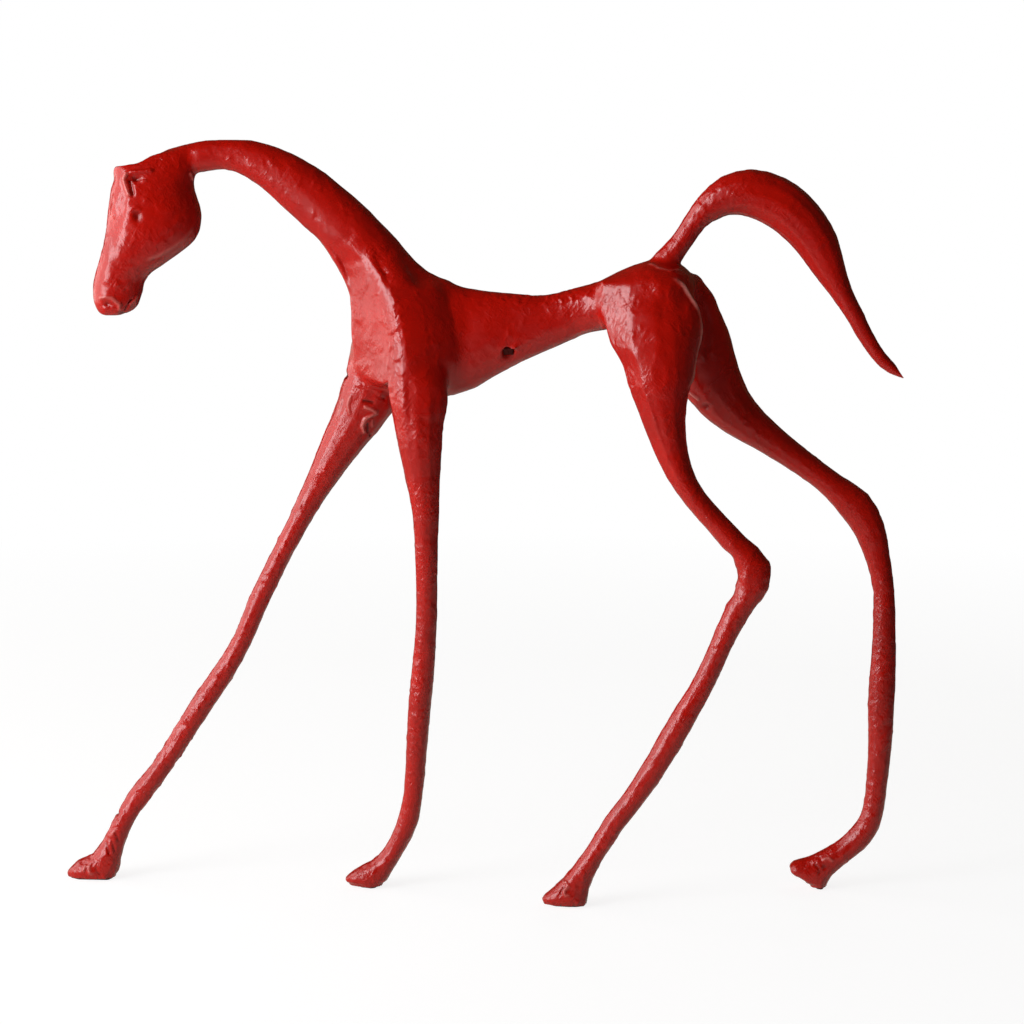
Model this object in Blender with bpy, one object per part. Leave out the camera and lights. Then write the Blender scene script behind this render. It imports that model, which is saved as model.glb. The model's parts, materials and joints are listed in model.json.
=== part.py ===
# A striding horse ornament: a hand finished resin body with a glued-on head, tail and four legs.
# Steel armature wires run through each glued joint, and thin pads sit under the hooves.
# Metres in the scene, millimetres in this file; +X is towards the tail, -Y is the horse's left,
# and +Z is up. The ornament stands on Z = 0, under the middle of its own box.

from collections import namedtuple
from math import ceil, cos, radians, sin

import bmesh
import bpy
import numpy as np
from mathutils import Vector
from mathutils.bvhtree import BVHTree

MM = 0.001

# Driving sizes, in millimetres

GLUE_GAP = 0.3
PUTTY_THICKNESS = 1.8
LEG_WIRE_DIAMETER = 3.0
NECK_WIRE_DIAMETER = 4.0
TAIL_WIRE_DIAMETER = 2.4
WIRE_CLEARANCE = 0.3
LEG_WIRE_IN_BODY = 24.0
NECK_WIRE_IN_BODY = 60.0
NECK_WIRE_IN_HEAD = 20.0
TAIL_WIRE_IN_BODY = 16.0
FRONT_LEG_WIRE_LENGTH = 190.0
HIND_LEG_WIRE_LENGTH = 205.0
TAIL_WIRE_LENGTH = 95.0
PAD_THICKNESS = 0.9
PAD_INSET = 0.8
PLUG_LENGTH = 4.6
PLUG_WIDTH = 3.8
PLUG_DEPTH = 5.0
PLUG_PLACE = 17.5
PLUG_DROP = 4.3
PLUG_TILT = 55.0
BORE_RUNOUT = 2.0
SOLE_HEIGHT = PAD_THICKNESS + GLUE_GAP
# How far each glued face lies from the middle of its joint
GLUE_FACE = PUTTY_THICKNESS / 2 + GLUE_GAP

# How finely the solids are made

LIMB_SIDES = 12
LEG_RING_STEP = 8.0
TAIL_RING_STEP = 7.0
HEAD_RING_STEP = 4.0
TRUNK_SIDES = 28
TRUNK_RING_STEP = 5.0
WIRE_SIDES = 8
WIRE_RING_STEP = 12.0
SMOOTHING_STRENGTH = 0.5
SHARP_ANGLE = radians(40)
BODY_GRAIN = 1.8
BODY_SMOOTHING_PASSES = 8
BODY_FACES = 3200
HEAD_GRAIN = 1.3
HEAD_SMOOTHING_PASSES = 5
HEAD_FACES = 1000
JOINT_OVERRUN = 7.0
LIMB_ROOT = 16.0
JOINT_KEEP = 5.0
JOINT_REACH = 24.0
PLUG_RAY_START = 60.0
SAME_LEVEL = 0.001

# A rib is one cross-section of a limb, given by its middle, its half depth in the side view and its
# half breadth. An edge is one given by its front and back corner in the side view instead.
# Both say how square they are: 2 is an ellipse, and less is nearer a diamond.
Rib = namedtuple("Rib", "x y z depth breadth square", defaults=(2.0,))
Edge = namedtuple("Edge", "front_x front_z back_x back_z y breadth square", defaults=(2.0,))

TRUNK_RIBS = [
    Rib(-146, 0, 353, 6.5, 6),
    Rib(-130.5, 0, 356.3, 7, 6.5),
    Rib(-115.5, 0, 357.5, 7.6, 6.5),
    Rib(-101, 0, 353.3, 9.8, 7.5),
    Rib(-83.5, 0, 342.7, 12.4, 8.5),
    Rib(-66.8, 0, 328.2, 13.9, 9.5),
    Rib(-52.5, 0, 312.3, 15.5, 11),
    Rib(-42.3, 0, 297.2, 18.5, 13, 1.8),
    Rib(-35, 0, 281.2, 27.8, 15, 1.6),
    Rib(-23, 0, 271.4, 31.2, 16, 1.6),
    Rib(-6.5, 0, 270.5, 26, 14, 1.8),
    Rib(8, 0, 273.5, 20.5, 11.5, 1.9),
    Rib(22.5, 0, 276.2, 16, 10),
    Rib(36.5, 0, 279, 12.7, 9.5),
    Rib(51, 0, 284, 11.2, 10),
    Rib(63, 0, 286.8, 11.6, 14),
    Rib(75, 0, 290.2, 14.1, 19),
    Rib(88, 0, 293.5, 14.5, 22),
    Rib(98, 1, 294, 10.8, 20),
    Rib(103.4, 3, 291.5, 7.4, 14),
]

FRONT_LEFT_RIBS = [
    Rib(-43.5, -6, 307, 8.5, 6),
    Rib(-34.5, -12, 289.5, 12, 9),
    Rib(-27.5, -15, 266.5, 12.5, 10),
    Rib(-24, -16, 243, 14, 10.5),
    Rib(-24.3, -16, 231.5, 11.8, 10),
    Rib(-23.6, -16, 220, 10.2, 9),
    Rib(-22.5, -15, 204.5, 8, 7.5),
    Rib(-21.5, -14, 189, 6.3, 6.5),
    Rib(-21.4, -12, 165.5, 5.2, 5.5),
    Rib(-21.7, -9, 141.5, 4.9, 5),
    Rib(-24, -6, 110, 5.3, 5.5),
    Rib(-25.7, -5, 94, 5.3, 5.2),
    Rib(-27.4, -3, 73.5, 5, 5),
    Rib(-31, 0, 41, 4.7, 4.8),
    Edge(-38.3, 32, -28, 33, 1, 5),
    Edge(-42, 24, -31.5, 24.3, 2, 5.4),
    Edge(-47, 16.2, -36, 16.5, 3, 6),
    Edge(-51.3, 12.5, -40, 9.7, 3, 6.6),
    Edge(-55.2, 10.7, -44, 3, 3, 7, 2.2),
    Edge(-58.7, 8.6, -49, 0, 3, 7, 2.2),
    Edge(-61.7, 6.2, -57, 1, 3, 5.6, 2.2),
    Edge(-63.8, 4, -62.5, 2.2, 3, 2.6),
]

FRONT_RIGHT_RIBS = [
    Rib(-35, 4, 290, 11, 8),
    Rib(-43.5, 7, 268, 15, 10),
    Rib(-52.2, 9, 243.7, 12.8, 10.5),
    Rib(-58.7, 10, 229, 11.3, 9.5),
    Rib(-66.8, 10, 216, 9.2, 8),
    Rib(-75.7, 10, 200, 6.8, 6.5),
    Rib(-84.2, 10, 184.5, 5.3, 5.5),
    Rib(-108.2, 10, 137, 4.7, 4.8),
    Rib(-115.3, 10, 120.5, 4.5, 4.8),
    Rib(-124.3, 10, 105, 4.9, 5.2),
    Rib(-135.3, 9, 89, 5.3, 5.4),
    Rib(-145.8, 9, 72.5, 4.8, 5),
    Rib(-156.3, 8, 56.5, 4.6, 4.8),
    Rib(-168.7, 8, 40, 5, 5),
    Edge(-179.2, 32, -168, 32.8, 7, 5),
    Edge(-182.6, 25.3, -172.3, 25, 7, 5.2),
    Edge(-185.8, 19.2, -175.4, 17.2, 7, 5.6),
    Edge(-189, 14.5, -177, 11.5, 7, 6.2),
    Edge(-191.3, 11.8, -178.6, 4, 7, 6.8, 2.2),
    Edge(-194.8, 10.3, -181.5, 0, 7, 7.2, 2.2),
    Edge(-198.9, 8.5, -189, 0, 7, 7.2, 2.2),
    Edge(-202, 5.4, -197, 0, 7, 5.6, 2.2),
    Edge(-204.2, 2.6, -202.6, 1, 7, 2.6),
]

HIND_LEFT_RIBS = [
    Rib(85.5, -7, 299, 15, 8),
    Rib(84.8, -13, 286, 21.8, 11),
    Rib(86.6, -17, 274, 21, 12.5),
    Rib(88.8, -19, 263, 17.2, 12),
    Rib(89.8, -20, 251.5, 15, 11),
    Rib(91.3, -20, 239, 11, 9.5),
    Rib(94, -20, 225, 8.3, 8.2),
    Rib(99.2, -20, 210, 6.2, 6.8),
    Rib(107, -20, 197.2, 5.2, 6),
    Rib(116, -20, 187, 5.2, 5.8),
    Rib(125.6, -21, 176.3, 5.7, 5.8),
    Rib(134.2, -21, 165.8, 7.7, 6),
    Rib(134.2, -21, 157, 7.5, 5.8),
    Rib(129, -21, 148, 6.1, 5.4),
    Rib(120.7, -21, 130.5, 5, 4.9),
    Rib(112.2, -21, 111, 5, 4.9),
    Rib(101.8, -22, 92, 5.6, 5.3),
    Rib(90.9, -22, 72.5, 5.6, 5.3),
    Rib(78.4, -22, 52.5, 5, 4.9),
    Rib(69.3, -22, 40.5, 4.9, 5),
    Edge(58.5, 31.6, 69, 30.9, -22, 5.1),
    Edge(53.2, 23.3, 63.5, 22, -22, 5.4),
    Edge(48.9, 17.6, 60, 15, -22, 5.9),
    Edge(45.1, 13, 57.5, 8.5, -22, 6.4, 2.2),
    Edge(41.3, 9.2, 56.3, 1, -22, 7, 2.3),
    Edge(38.4, 6.5, 49.5, 0.5, -22, 6.6, 2.3),
    Edge(36.2, 4.5, 41.8, 0.8, -22, 5, 2.2),
    Edge(35.2, 2.8, 36.9, 1.4, -22, 2.4),
]

HIND_RIGHT_RIBS = [
    Rib(95, 7, 298, 12.5, 9),
    Rib(99.5, 12, 284, 15.8, 11),
    Rib(104.8, 16, 269.5, 17.4, 12.5),
    Rib(112.1, 18, 252.1, 15.3, 12),
    Rib(122, 20, 237, 11.6, 10.5),
    Rib(139.5, 20, 222.8, 7.7, 8),
    Rib(157.5, 20, 210, 6, 6.5),
    Rib(172.5, 20, 198.7, 6.3, 6.3),
    Rib(182.8, 20, 189.8, 8.2, 6.3),
    Rib(190, 20, 178, 7.3, 6),
    Rib(194.3, 20, 163.5, 5.7, 5.4),
    Rib(197.2, 20, 148, 5, 5),
    Rib(197.8, 20, 132, 5.3, 5.1),
    Rib(197.7, 20, 112.5, 6, 5.4),
    Rib(197, 20, 92.5, 6.3, 5.5),
    Rib(196.8, 20, 73, 5.6, 5.2),
    Rib(195.5, 20, 53, 4.9, 4.9),
    Edge(189.1, 40.4, 199.4, 40.5, 20, 5),
    Edge(186.3, 33.4, 197, 31, 20, 5.2),
    Edge(181.1, 27.2, 192.7, 23.5, 20, 5.5),
    Edge(174.8, 21.5, 186.6, 17.3, 20, 5.8),
    Edge(169.5, 18.6, 180, 11.8, 20, 6.2),
    Edge(165.2, 16.3, 174.2, 6.2, 20, 6.6, 2.2),
    Edge(161.8, 14.9, 170.3, -0.8, 20, 7, 2.3),
    Edge(158.8, 13.9, 164.6, 1.6, 20, 7, 2.3),
    Edge(155.9, 12.5, 159.5, 5, 20, 6.4, 2.3),
    Edge(154, 10.7, 155.3, 7.4, 20, 4.4, 2.2),
]

TAIL_RIBS = [
    Rib(84, 0, 294, 7, 7),
    Rib(88.3, 0, 302, 6.6, 6.8),
    Rib(92, 0, 308, 6, 6),
    Rib(95.6, 0, 312.6, 5.2, 5.5),
    Rib(100.4, 0, 319.2, 4.9, 5.5),
    Rib(105.8, 0, 327.3, 5.1, 5.5),
    Rib(111.8, 0, 333.5, 6.8, 6.5),
    Rib(120.3, 0, 338.6, 9.2, 8),
    Rib(130.5, 0, 339.8, 11, 8.8),
    Rib(142, 0, 336.3, 11.6, 9),
    Rib(154.6, 0, 326.7, 11, 8.8),
    Rib(163, 0, 315.2, 9.5, 8),
    Rib(169, 0, 303, 7, 6.5),
    Rib(175, 0, 292, 4.7, 5),
    Rib(179.5, 0, 284.3, 4, 4.2),
    Rib(188.3, 0, 269, 3.3, 3.4),
    Rib(192.8, 0, 262.8, 2.9, 3),
    Rib(198, 0, 257.8, 2.2, 2.3),
    Rib(204.3, 0, 254, 0.9, 0.9),
]

# The head's ribs run from the poll down to the muzzle
HEAD_RIBS = [
    Edge(-168.5, 353.4, -132, 361.5, 0, 5.5, 2.6),
    Edge(-171, 350, -131.5, 355, 0, 8.5, 2.6),
    Edge(-172.2, 342.5, -134, 344, 0, 11, 2.4),
    Edge(-174.3, 329.5, -130.5, 328.5, 0, 12.5, 2.3),
    Edge(-175.8, 317.5, -133.3, 317.3, 0, 12, 2.3),
    Edge(-178, 308.5, -146.5, 307.6, 0, 10.5, 2.3),
    Edge(-180.7, 300, -156.8, 299.3, 0, 8.5, 2.4),
    Edge(-182, 291.5, -159.3, 290.5, 0, 7.3, 2.5),
    Edge(-180.5, 284.5, -163, 283.5, 0, 6.2, 2.4),
    Edge(-177.5, 281.2, -168.5, 281.2, 0, 3.5, 2.2),
]
# The head looks a little to the horse's left: sideways shift for each millimetre ahead of the joint
HEAD_TURN = 0.17

# A joint is where two castings are glued: the middle of the putty and the way towards the end piece
Joint = namedtuple("Joint", "x y z along_x along_z")
HEAD_JOINT = Joint(-130.5, 0, 356.5, -1.0, -0.1)
TAIL_JOINT = Joint(92.5, 0, 309, 0.3, 0.95)
FRONT_LEFT_JOINT = Joint(-24, -16, 236, 0.0, -1.0)
FRONT_RIGHT_JOINT = Joint(-53, 9.5, 244, -0.5, -0.86)
HIND_LEFT_JOINT = Joint(91.5, -20, 238.5, 0.1, -1.0)
HIND_RIGHT_JOINT = Joint(118, 19, 242.5, 0.54, -0.84)

RED_PAINT = (0.47, 0.012, 0.010)
DULL_RED_PAINT = (0.42, 0.030, 0.026)
PUTTY_RED = (0.40, 0.016, 0.014)
STEEL = (0.42, 0.42, 0.43)
PAD_BLACK = (0.02, 0.018, 0.018)


def clear_scene():
    for old in list(bpy.data.objects):
        bpy.data.objects.remove(old, do_unlink=True)


def paint(name, colour, roughness, metallic):
    material = bpy.data.materials.new(name)
    material.use_nodes = True
    shader = material.node_tree.nodes["Principled BSDF"]
    shader.inputs["Base Color"].default_value = (*colour, 1.0)
    shader.inputs["Roughness"].default_value = roughness
    shader.inputs["Metallic"].default_value = metallic
    return material


def add_object(name, mesh, material=None):
    obj = bpy.data.objects.new(name, mesh)
    bpy.context.scene.collection.objects.link(obj)
    if material:
        mesh.materials.clear()
        mesh.materials.append(material)
    return obj


def hide_cutter(obj):
    obj.display_type = "WIRE"
    obj.hide_render = True


def evaluated_mesh(obj):
    graph = bpy.context.evaluated_depsgraph_get()
    return bpy.data.meshes.new_from_object(obj.evaluated_get(graph))


def unit(vectors):
    return vectors / np.linalg.norm(vectors, axis=-1, keepdims=True)


def lengths_along(places):
    """How far along its line each place lies."""
    runs = np.linalg.norm(np.diff(places, axis=0), axis=1)
    return np.concatenate([[0.0], np.cumsum(runs)])


def sections(ribs):
    """One row for each rib: its middle, the way from there to its front corner, breadth, squareness."""
    corners = [
        ((rib.front_x + rib.back_x) / 2, rib.y, (rib.front_z + rib.back_z) / 2)
        if isinstance(rib, Edge)
        else (rib.x, rib.y, rib.z)
        for rib in ribs
    ]
    middles = np.array(corners, float)
    ways = unit(np.gradient(middles, lengths_along(middles), axis=0) * (1.0, 0.0, 1.0))
    rows = []
    for rib, middle, way in zip(ribs, middles, ways):
        half = np.array([way[2], 0.0, -way[0]])
        if isinstance(rib, Edge):
            half = np.array([rib.front_x - rib.back_x, 0.0, rib.front_z - rib.back_z]) / 2
        else:
            half *= rib.depth
        rows.append([*middle, *half, rib.breadth, rib.square])
    return np.array(rows)


def stations(rows, step):
    """The rows, joined by a smooth curve through their middles and read off about every step."""
    along = lengths_along(rows[:, :3])
    slopes = np.gradient(rows, along, axis=0)
    result = []
    for i, run in enumerate(np.diff(along)):
        count = max(1, ceil(run / step))
        for k in range(count):
            t = k / count
            start = (2 * t**3 - 3 * t**2 + 1) * rows[i] + (t**3 - 2 * t**2 + t) * run * slopes[i]
            end = (3 * t**2 - 2 * t**3) * rows[i + 1] + (t**3 - t**2) * run * slopes[i + 1]
            result.append(start + end)
    result.append(rows[-1])
    return np.array(result)


def ring(row, sides):
    """The points around one cross-section, a superellipse."""
    turn = np.arange(sides) * 2 * np.pi / sides
    power = 2 / row[7]
    forward = np.sign(np.cos(turn)) * np.abs(np.cos(turn)) ** power
    sideways = np.sign(np.sin(turn)) * np.abs(np.sin(turn)) ** power
    return row[:3] + np.outer(forward, row[3:6]) + np.outer(sideways * row[6], (0.0, 1.0, 0.0))


def tube_mesh(name, rings):
    """A closed solid through rings of equally many points, with flat ends."""
    bm = bmesh.new()
    loops = [[bm.verts.new(Vector(point) * MM) for point in points] for points in rings]
    sides = len(loops[0])
    for lower, upper in zip(loops, loops[1:]):
        for k in range(sides):
            m = (k + 1) % sides
            bm.faces.new((lower[k], lower[m], upper[m], upper[k]))
    bm.faces.new(loops[0][::-1])
    bm.faces.new(loops[-1])
    bmesh.ops.recalc_face_normals(bm, faces=bm.faces)
    mesh = bpy.data.meshes.new(name)
    bm.to_mesh(mesh)
    bm.free()
    return mesh


def limb_mesh(name, ribs, step, sides, joint, behind=np.inf, ahead=np.inf):
    """A limb's solid, from some way behind its joint to some way ahead of it along its centre line."""
    rows = stations(sections(ribs), step)
    reach = along_from(rows[:, :3], joint)
    rows = rows[(reach > -behind) & (reach < ahead)]
    return tube_mesh(name, [ring(row, sides) for row in rows])


def head_mesh(name):
    """The head, turned a little to the side."""
    rings = []
    for row in stations(sections(HEAD_RIBS), HEAD_RING_STEP):
        points = ring(row, TRUNK_SIDES)
        points[:, 1] -= HEAD_TURN * np.maximum(HEAD_JOINT.x - points[:, 0], 0.0)
        rings.append(points)
    return tube_mesh(name, rings)


def joint_place(joint):
    return np.array([joint.x, joint.y, joint.z], float)


def along_from(places, joint):
    """How far each place of a centre line lies past the place that is nearest to the joint."""
    along = lengths_along(places)
    near = int(np.argmin(np.linalg.norm(places - joint_place(joint), axis=1)))
    return along - along[near]


def joint_way(joint):
    """The unit way from the body towards the end piece."""
    return unit(np.array([joint.along_x, 0.0, joint.along_z], float))


def trim(mesh, place, way):
    """Cuts away everything beyond the plane at place, on the side that way points to."""
    bm = bmesh.new()
    bm.from_mesh(mesh)
    geometry = bm.verts[:] + bm.edges[:] + bm.faces[:]
    cut = bmesh.ops.bisect_plane(
        bm,
        geom=geometry,
        dist=SAME_LEVEL * MM / 10,
        plane_co=Vector(place) * MM,
        plane_no=Vector(way),
        clear_outer=True,
    )
    rim = [part for part in cut["geom_cut"] if isinstance(part, bmesh.types.BMEdge)]
    bmesh.ops.holes_fill(bm, edges=rim, sides=0)
    bmesh.ops.recalc_face_normals(bm, faces=bm.faces)
    bm.to_mesh(mesh)
    bm.free()
    return mesh


def slab_cutter(name, joint, start, end):
    """A square block across a joint, from start to end millimetres along it."""
    way = joint_way(joint)
    side = np.array([0.0, 1.0, 0.0])
    across = np.cross(side, way)
    place = joint_place(joint)
    rings = []
    for distance in (start, end):
        middle = place + way * distance
        rings.append(
            [
                middle + (u * across + v * side) * JOINT_REACH
                for u, v in ((-1, -1), (1, -1), (1, 1), (-1, 1))
            ]
        )
    cutter = add_object(name, tube_mesh(name, rings))
    hide_cutter(cutter)
    return cutter


def cut(obj, cutter):
    modifier = obj.modifiers.new(cutter.name, "BOOLEAN")
    modifier.object = cutter
    modifier.operation = "DIFFERENCE"
    modifier.solver = "EXACT"


def blend(name, meshes, grain, passes, faces, joints):
    """Joins overlapping solids into one hand smoothed skin, left as it is close to its joints."""
    bm = bmesh.new()
    for mesh in meshes:
        bm.from_mesh(mesh)
    joined = bpy.data.meshes.new(name + "_rough")
    bm.to_mesh(joined)
    bm.free()
    rough = add_object(name + "_rough", joined)
    remesh = rough.modifiers.new("clay", "REMESH")
    remesh.mode = "VOXEL"
    remesh.voxel_size = grain * MM
    skin = evaluated_mesh(rough)
    bm = bmesh.new()
    bm.from_mesh(skin)
    free = [v for v in bm.verts if all(joint_distance(v.co, joint) > JOINT_KEEP for joint in joints)]
    for _ in range(passes):
        bmesh.ops.smooth_vert(
            bm, verts=free, factor=SMOOTHING_STRENGTH, use_axis_x=True, use_axis_y=True, use_axis_z=True
        )
    bm.to_mesh(skin)
    bm.free()
    rough.modifiers.clear()
    rough.data = skin
    thin = rough.modifiers.new("fewer faces", "DECIMATE")
    thin.ratio = faces / (2 * len(skin.polygons))
    result = evaluated_mesh(rough)
    bpy.data.objects.remove(rough, do_unlink=True)
    result.name = name
    return result


def joint_distance(place, joint):
    """How far a place in metres lies from a joint's middle, in millimetres, beyond its reach."""
    offset = np.array(place) / MM - joint_place(joint)
    along = abs(float(offset @ joint_way(joint)))
    if np.linalg.norm(offset) > JOINT_REACH:
        return np.inf
    return along


def shade_round(mesh):
    mesh.shade_smooth()
    mesh.set_sharp_from_angle(angle=SHARP_ANGLE)


def wire_route(ribs, joint, behind, ahead, step):
    """The stretch of a limb's centre line from behind the joint to ahead of it."""
    centre = stations(sections(ribs), 1.0)[:, :3]
    along = along_from(centre, joint)
    count = ceil((behind + ahead) / step) + 1
    wanted = np.linspace(-behind, ahead, count)
    return np.column_stack([np.interp(wanted, along, centre[:, k]) for k in range(3)])


def rod_mesh(name, route, radius, runout=0.0):
    """A round rod along a route, longer by the run-out at both ends."""
    route = np.array(route, float)
    route[0] += unit(route[0] - route[1]) * runout
    route[-1] += unit(route[-1] - route[-2]) * runout
    rows = sections([Rib(*place, radius, radius) for place in route])
    return tube_mesh(name, [ring(row, WIRE_SIDES) for row in rows])


def add_wire(name, route, diameter, steel, bored):
    """A wire and the bore for it in each casting and putty bed that it runs through."""
    wire = add_object(name, rod_mesh(name, route, diameter / 2), steel)
    shade_round(wire.data)
    bore_name = name + "_bore"
    bore_radius = diameter / 2 + WIRE_CLEARANCE
    bore = add_object(bore_name, rod_mesh(bore_name, route, bore_radius, WIRE_CLEARANCE))
    hide_cutter(bore)
    for obj in bored:
        cut(obj, bore)


def end_piece(name, ribs, step, joint, material):
    """A leg or the tail: the limb beyond its putty bed."""
    mesh = limb_mesh(name, ribs, step, LIMB_SIDES, joint, behind=LIMB_ROOT)
    piece = add_object(name, mesh, material)
    cut(piece, slab_cutter(name + "_end", joint, -2 * LIMB_ROOT, GLUE_FACE))
    return piece


def putty_bed(name, ribs, step, sides, joint, material):
    """The thin bed between two castings, sanded flush with them."""
    mesh = limb_mesh(name, ribs, step, sides, joint, LIMB_ROOT, LIMB_ROOT)
    way = joint_way(joint)
    place = joint_place(joint)
    trim(mesh, place + way * PUTTY_THICKNESS / 2, way)
    trim(mesh, place - way * PUTTY_THICKNESS / 2, -way)
    bed = add_object(name, mesh, material)
    shade_round(mesh)
    return bed


def body_side(ribs, step, sides, joint):
    """The part of a limb that belongs to the body, with some overrun past the joint."""
    mesh = limb_mesh("body_side", ribs, step, sides, joint, ahead=LIMB_ROOT)
    way = joint_way(joint)
    return trim(mesh, joint_place(joint) + way * JOINT_OVERRUN, way)


def add_pad(name, leg, material):
    """A thin pad under a hoof, with the outline of the sole drawn in a little."""
    bm = bmesh.new()
    bm.from_mesh(leg.data)
    level = SOLE_HEIGHT * MM
    near = SAME_LEVEL * MM
    sole = [face for face in bm.faces if all(abs(v.co.z - level) < near for v in face.verts)]
    corners = {v for face in sole for v in face.verts}
    hull = outline_around(np.array([v.co.xy for v in corners]) / MM)
    bm.free()
    middle = hull.mean(axis=0)
    spans = np.linalg.norm(hull - middle, axis=1, keepdims=True)
    outline = middle + (hull - middle) * (1 - PAD_INSET / np.maximum(spans, 2 * PAD_INSET))
    rings = [[(x, y, z) for x, y in outline] for z in (0.0, PAD_THICKNESS)]
    add_object(name, tube_mesh(name, rings), material)


def outline_around(points):
    """The convex outline of flat points, in order."""
    ordered = sorted(map(tuple, points))
    halves = []
    for run in (ordered, ordered[::-1]):
        half = []
        for point in run:
            while len(half) > 1 and turns_right(half[-2], half[-1], point):
                half.pop()
            half.append(point)
        halves.append(half[:-1])
    return np.array(halves[0] + halves[1])


def turns_right(a, b, c):
    return (b[0] - a[0]) * (c[1] - a[1]) - (b[1] - a[1]) * (c[0] - a[0]) <= 1e-9


def belly_plug(body, material):
    """The small plug low on the left of the belly, in a pocket of its own."""
    tilt = radians(PLUG_TILT)
    inward = Vector((0.0, sin(tilt), cos(tilt)))
    trunk_middle = np.interp(PLUG_PLACE, [rib.x for rib in TRUNK_RIBS], [rib.z for rib in TRUNK_RIBS])
    aim = Vector((PLUG_PLACE, 0.0, trunk_middle - PLUG_DROP))
    skin = first_hit(body.data, aim - inward * PLUG_RAY_START, inward)
    hole = block("plug_pocket", skin, tilt, GLUE_GAP, -BORE_RUNOUT, PLUG_DEPTH + GLUE_GAP)
    pocket = add_object("plug_pocket", hole)
    hide_cutter(pocket)
    cut(body, pocket)
    add_object("belly_plug", block("belly_plug", skin, tilt, 0.0, 0.0, PLUG_DEPTH), material)


def block(name, start, tilt, slack, bottom, top):
    """A block of the plug's length and width, tilted about the X axis, larger all round by the slack."""
    inward = np.array([0.0, sin(tilt), cos(tilt)])
    across = np.array([0.0, cos(tilt), -sin(tilt)])
    half_length = PLUG_LENGTH / 2 + slack
    half_width = PLUG_WIDTH / 2 + slack
    corners = ((-1, -1), (1, -1), (1, 1), (-1, 1))
    rings = []
    for depth in (bottom, top):
        centre = np.array(start) + inward * depth
        rings.append([centre + (u * half_length, 0, 0) + across * v * half_width for u, v in corners])
    return tube_mesh(name, rings)


def first_hit(mesh, start, way):
    """Where a line first meets a mesh, in millimetres."""
    bm = bmesh.new()
    bm.from_mesh(mesh)
    place, *_ = BVHTree.FromBMesh(bm).ray_cast(start * MM, way)
    bm.free()
    return place / MM


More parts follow.
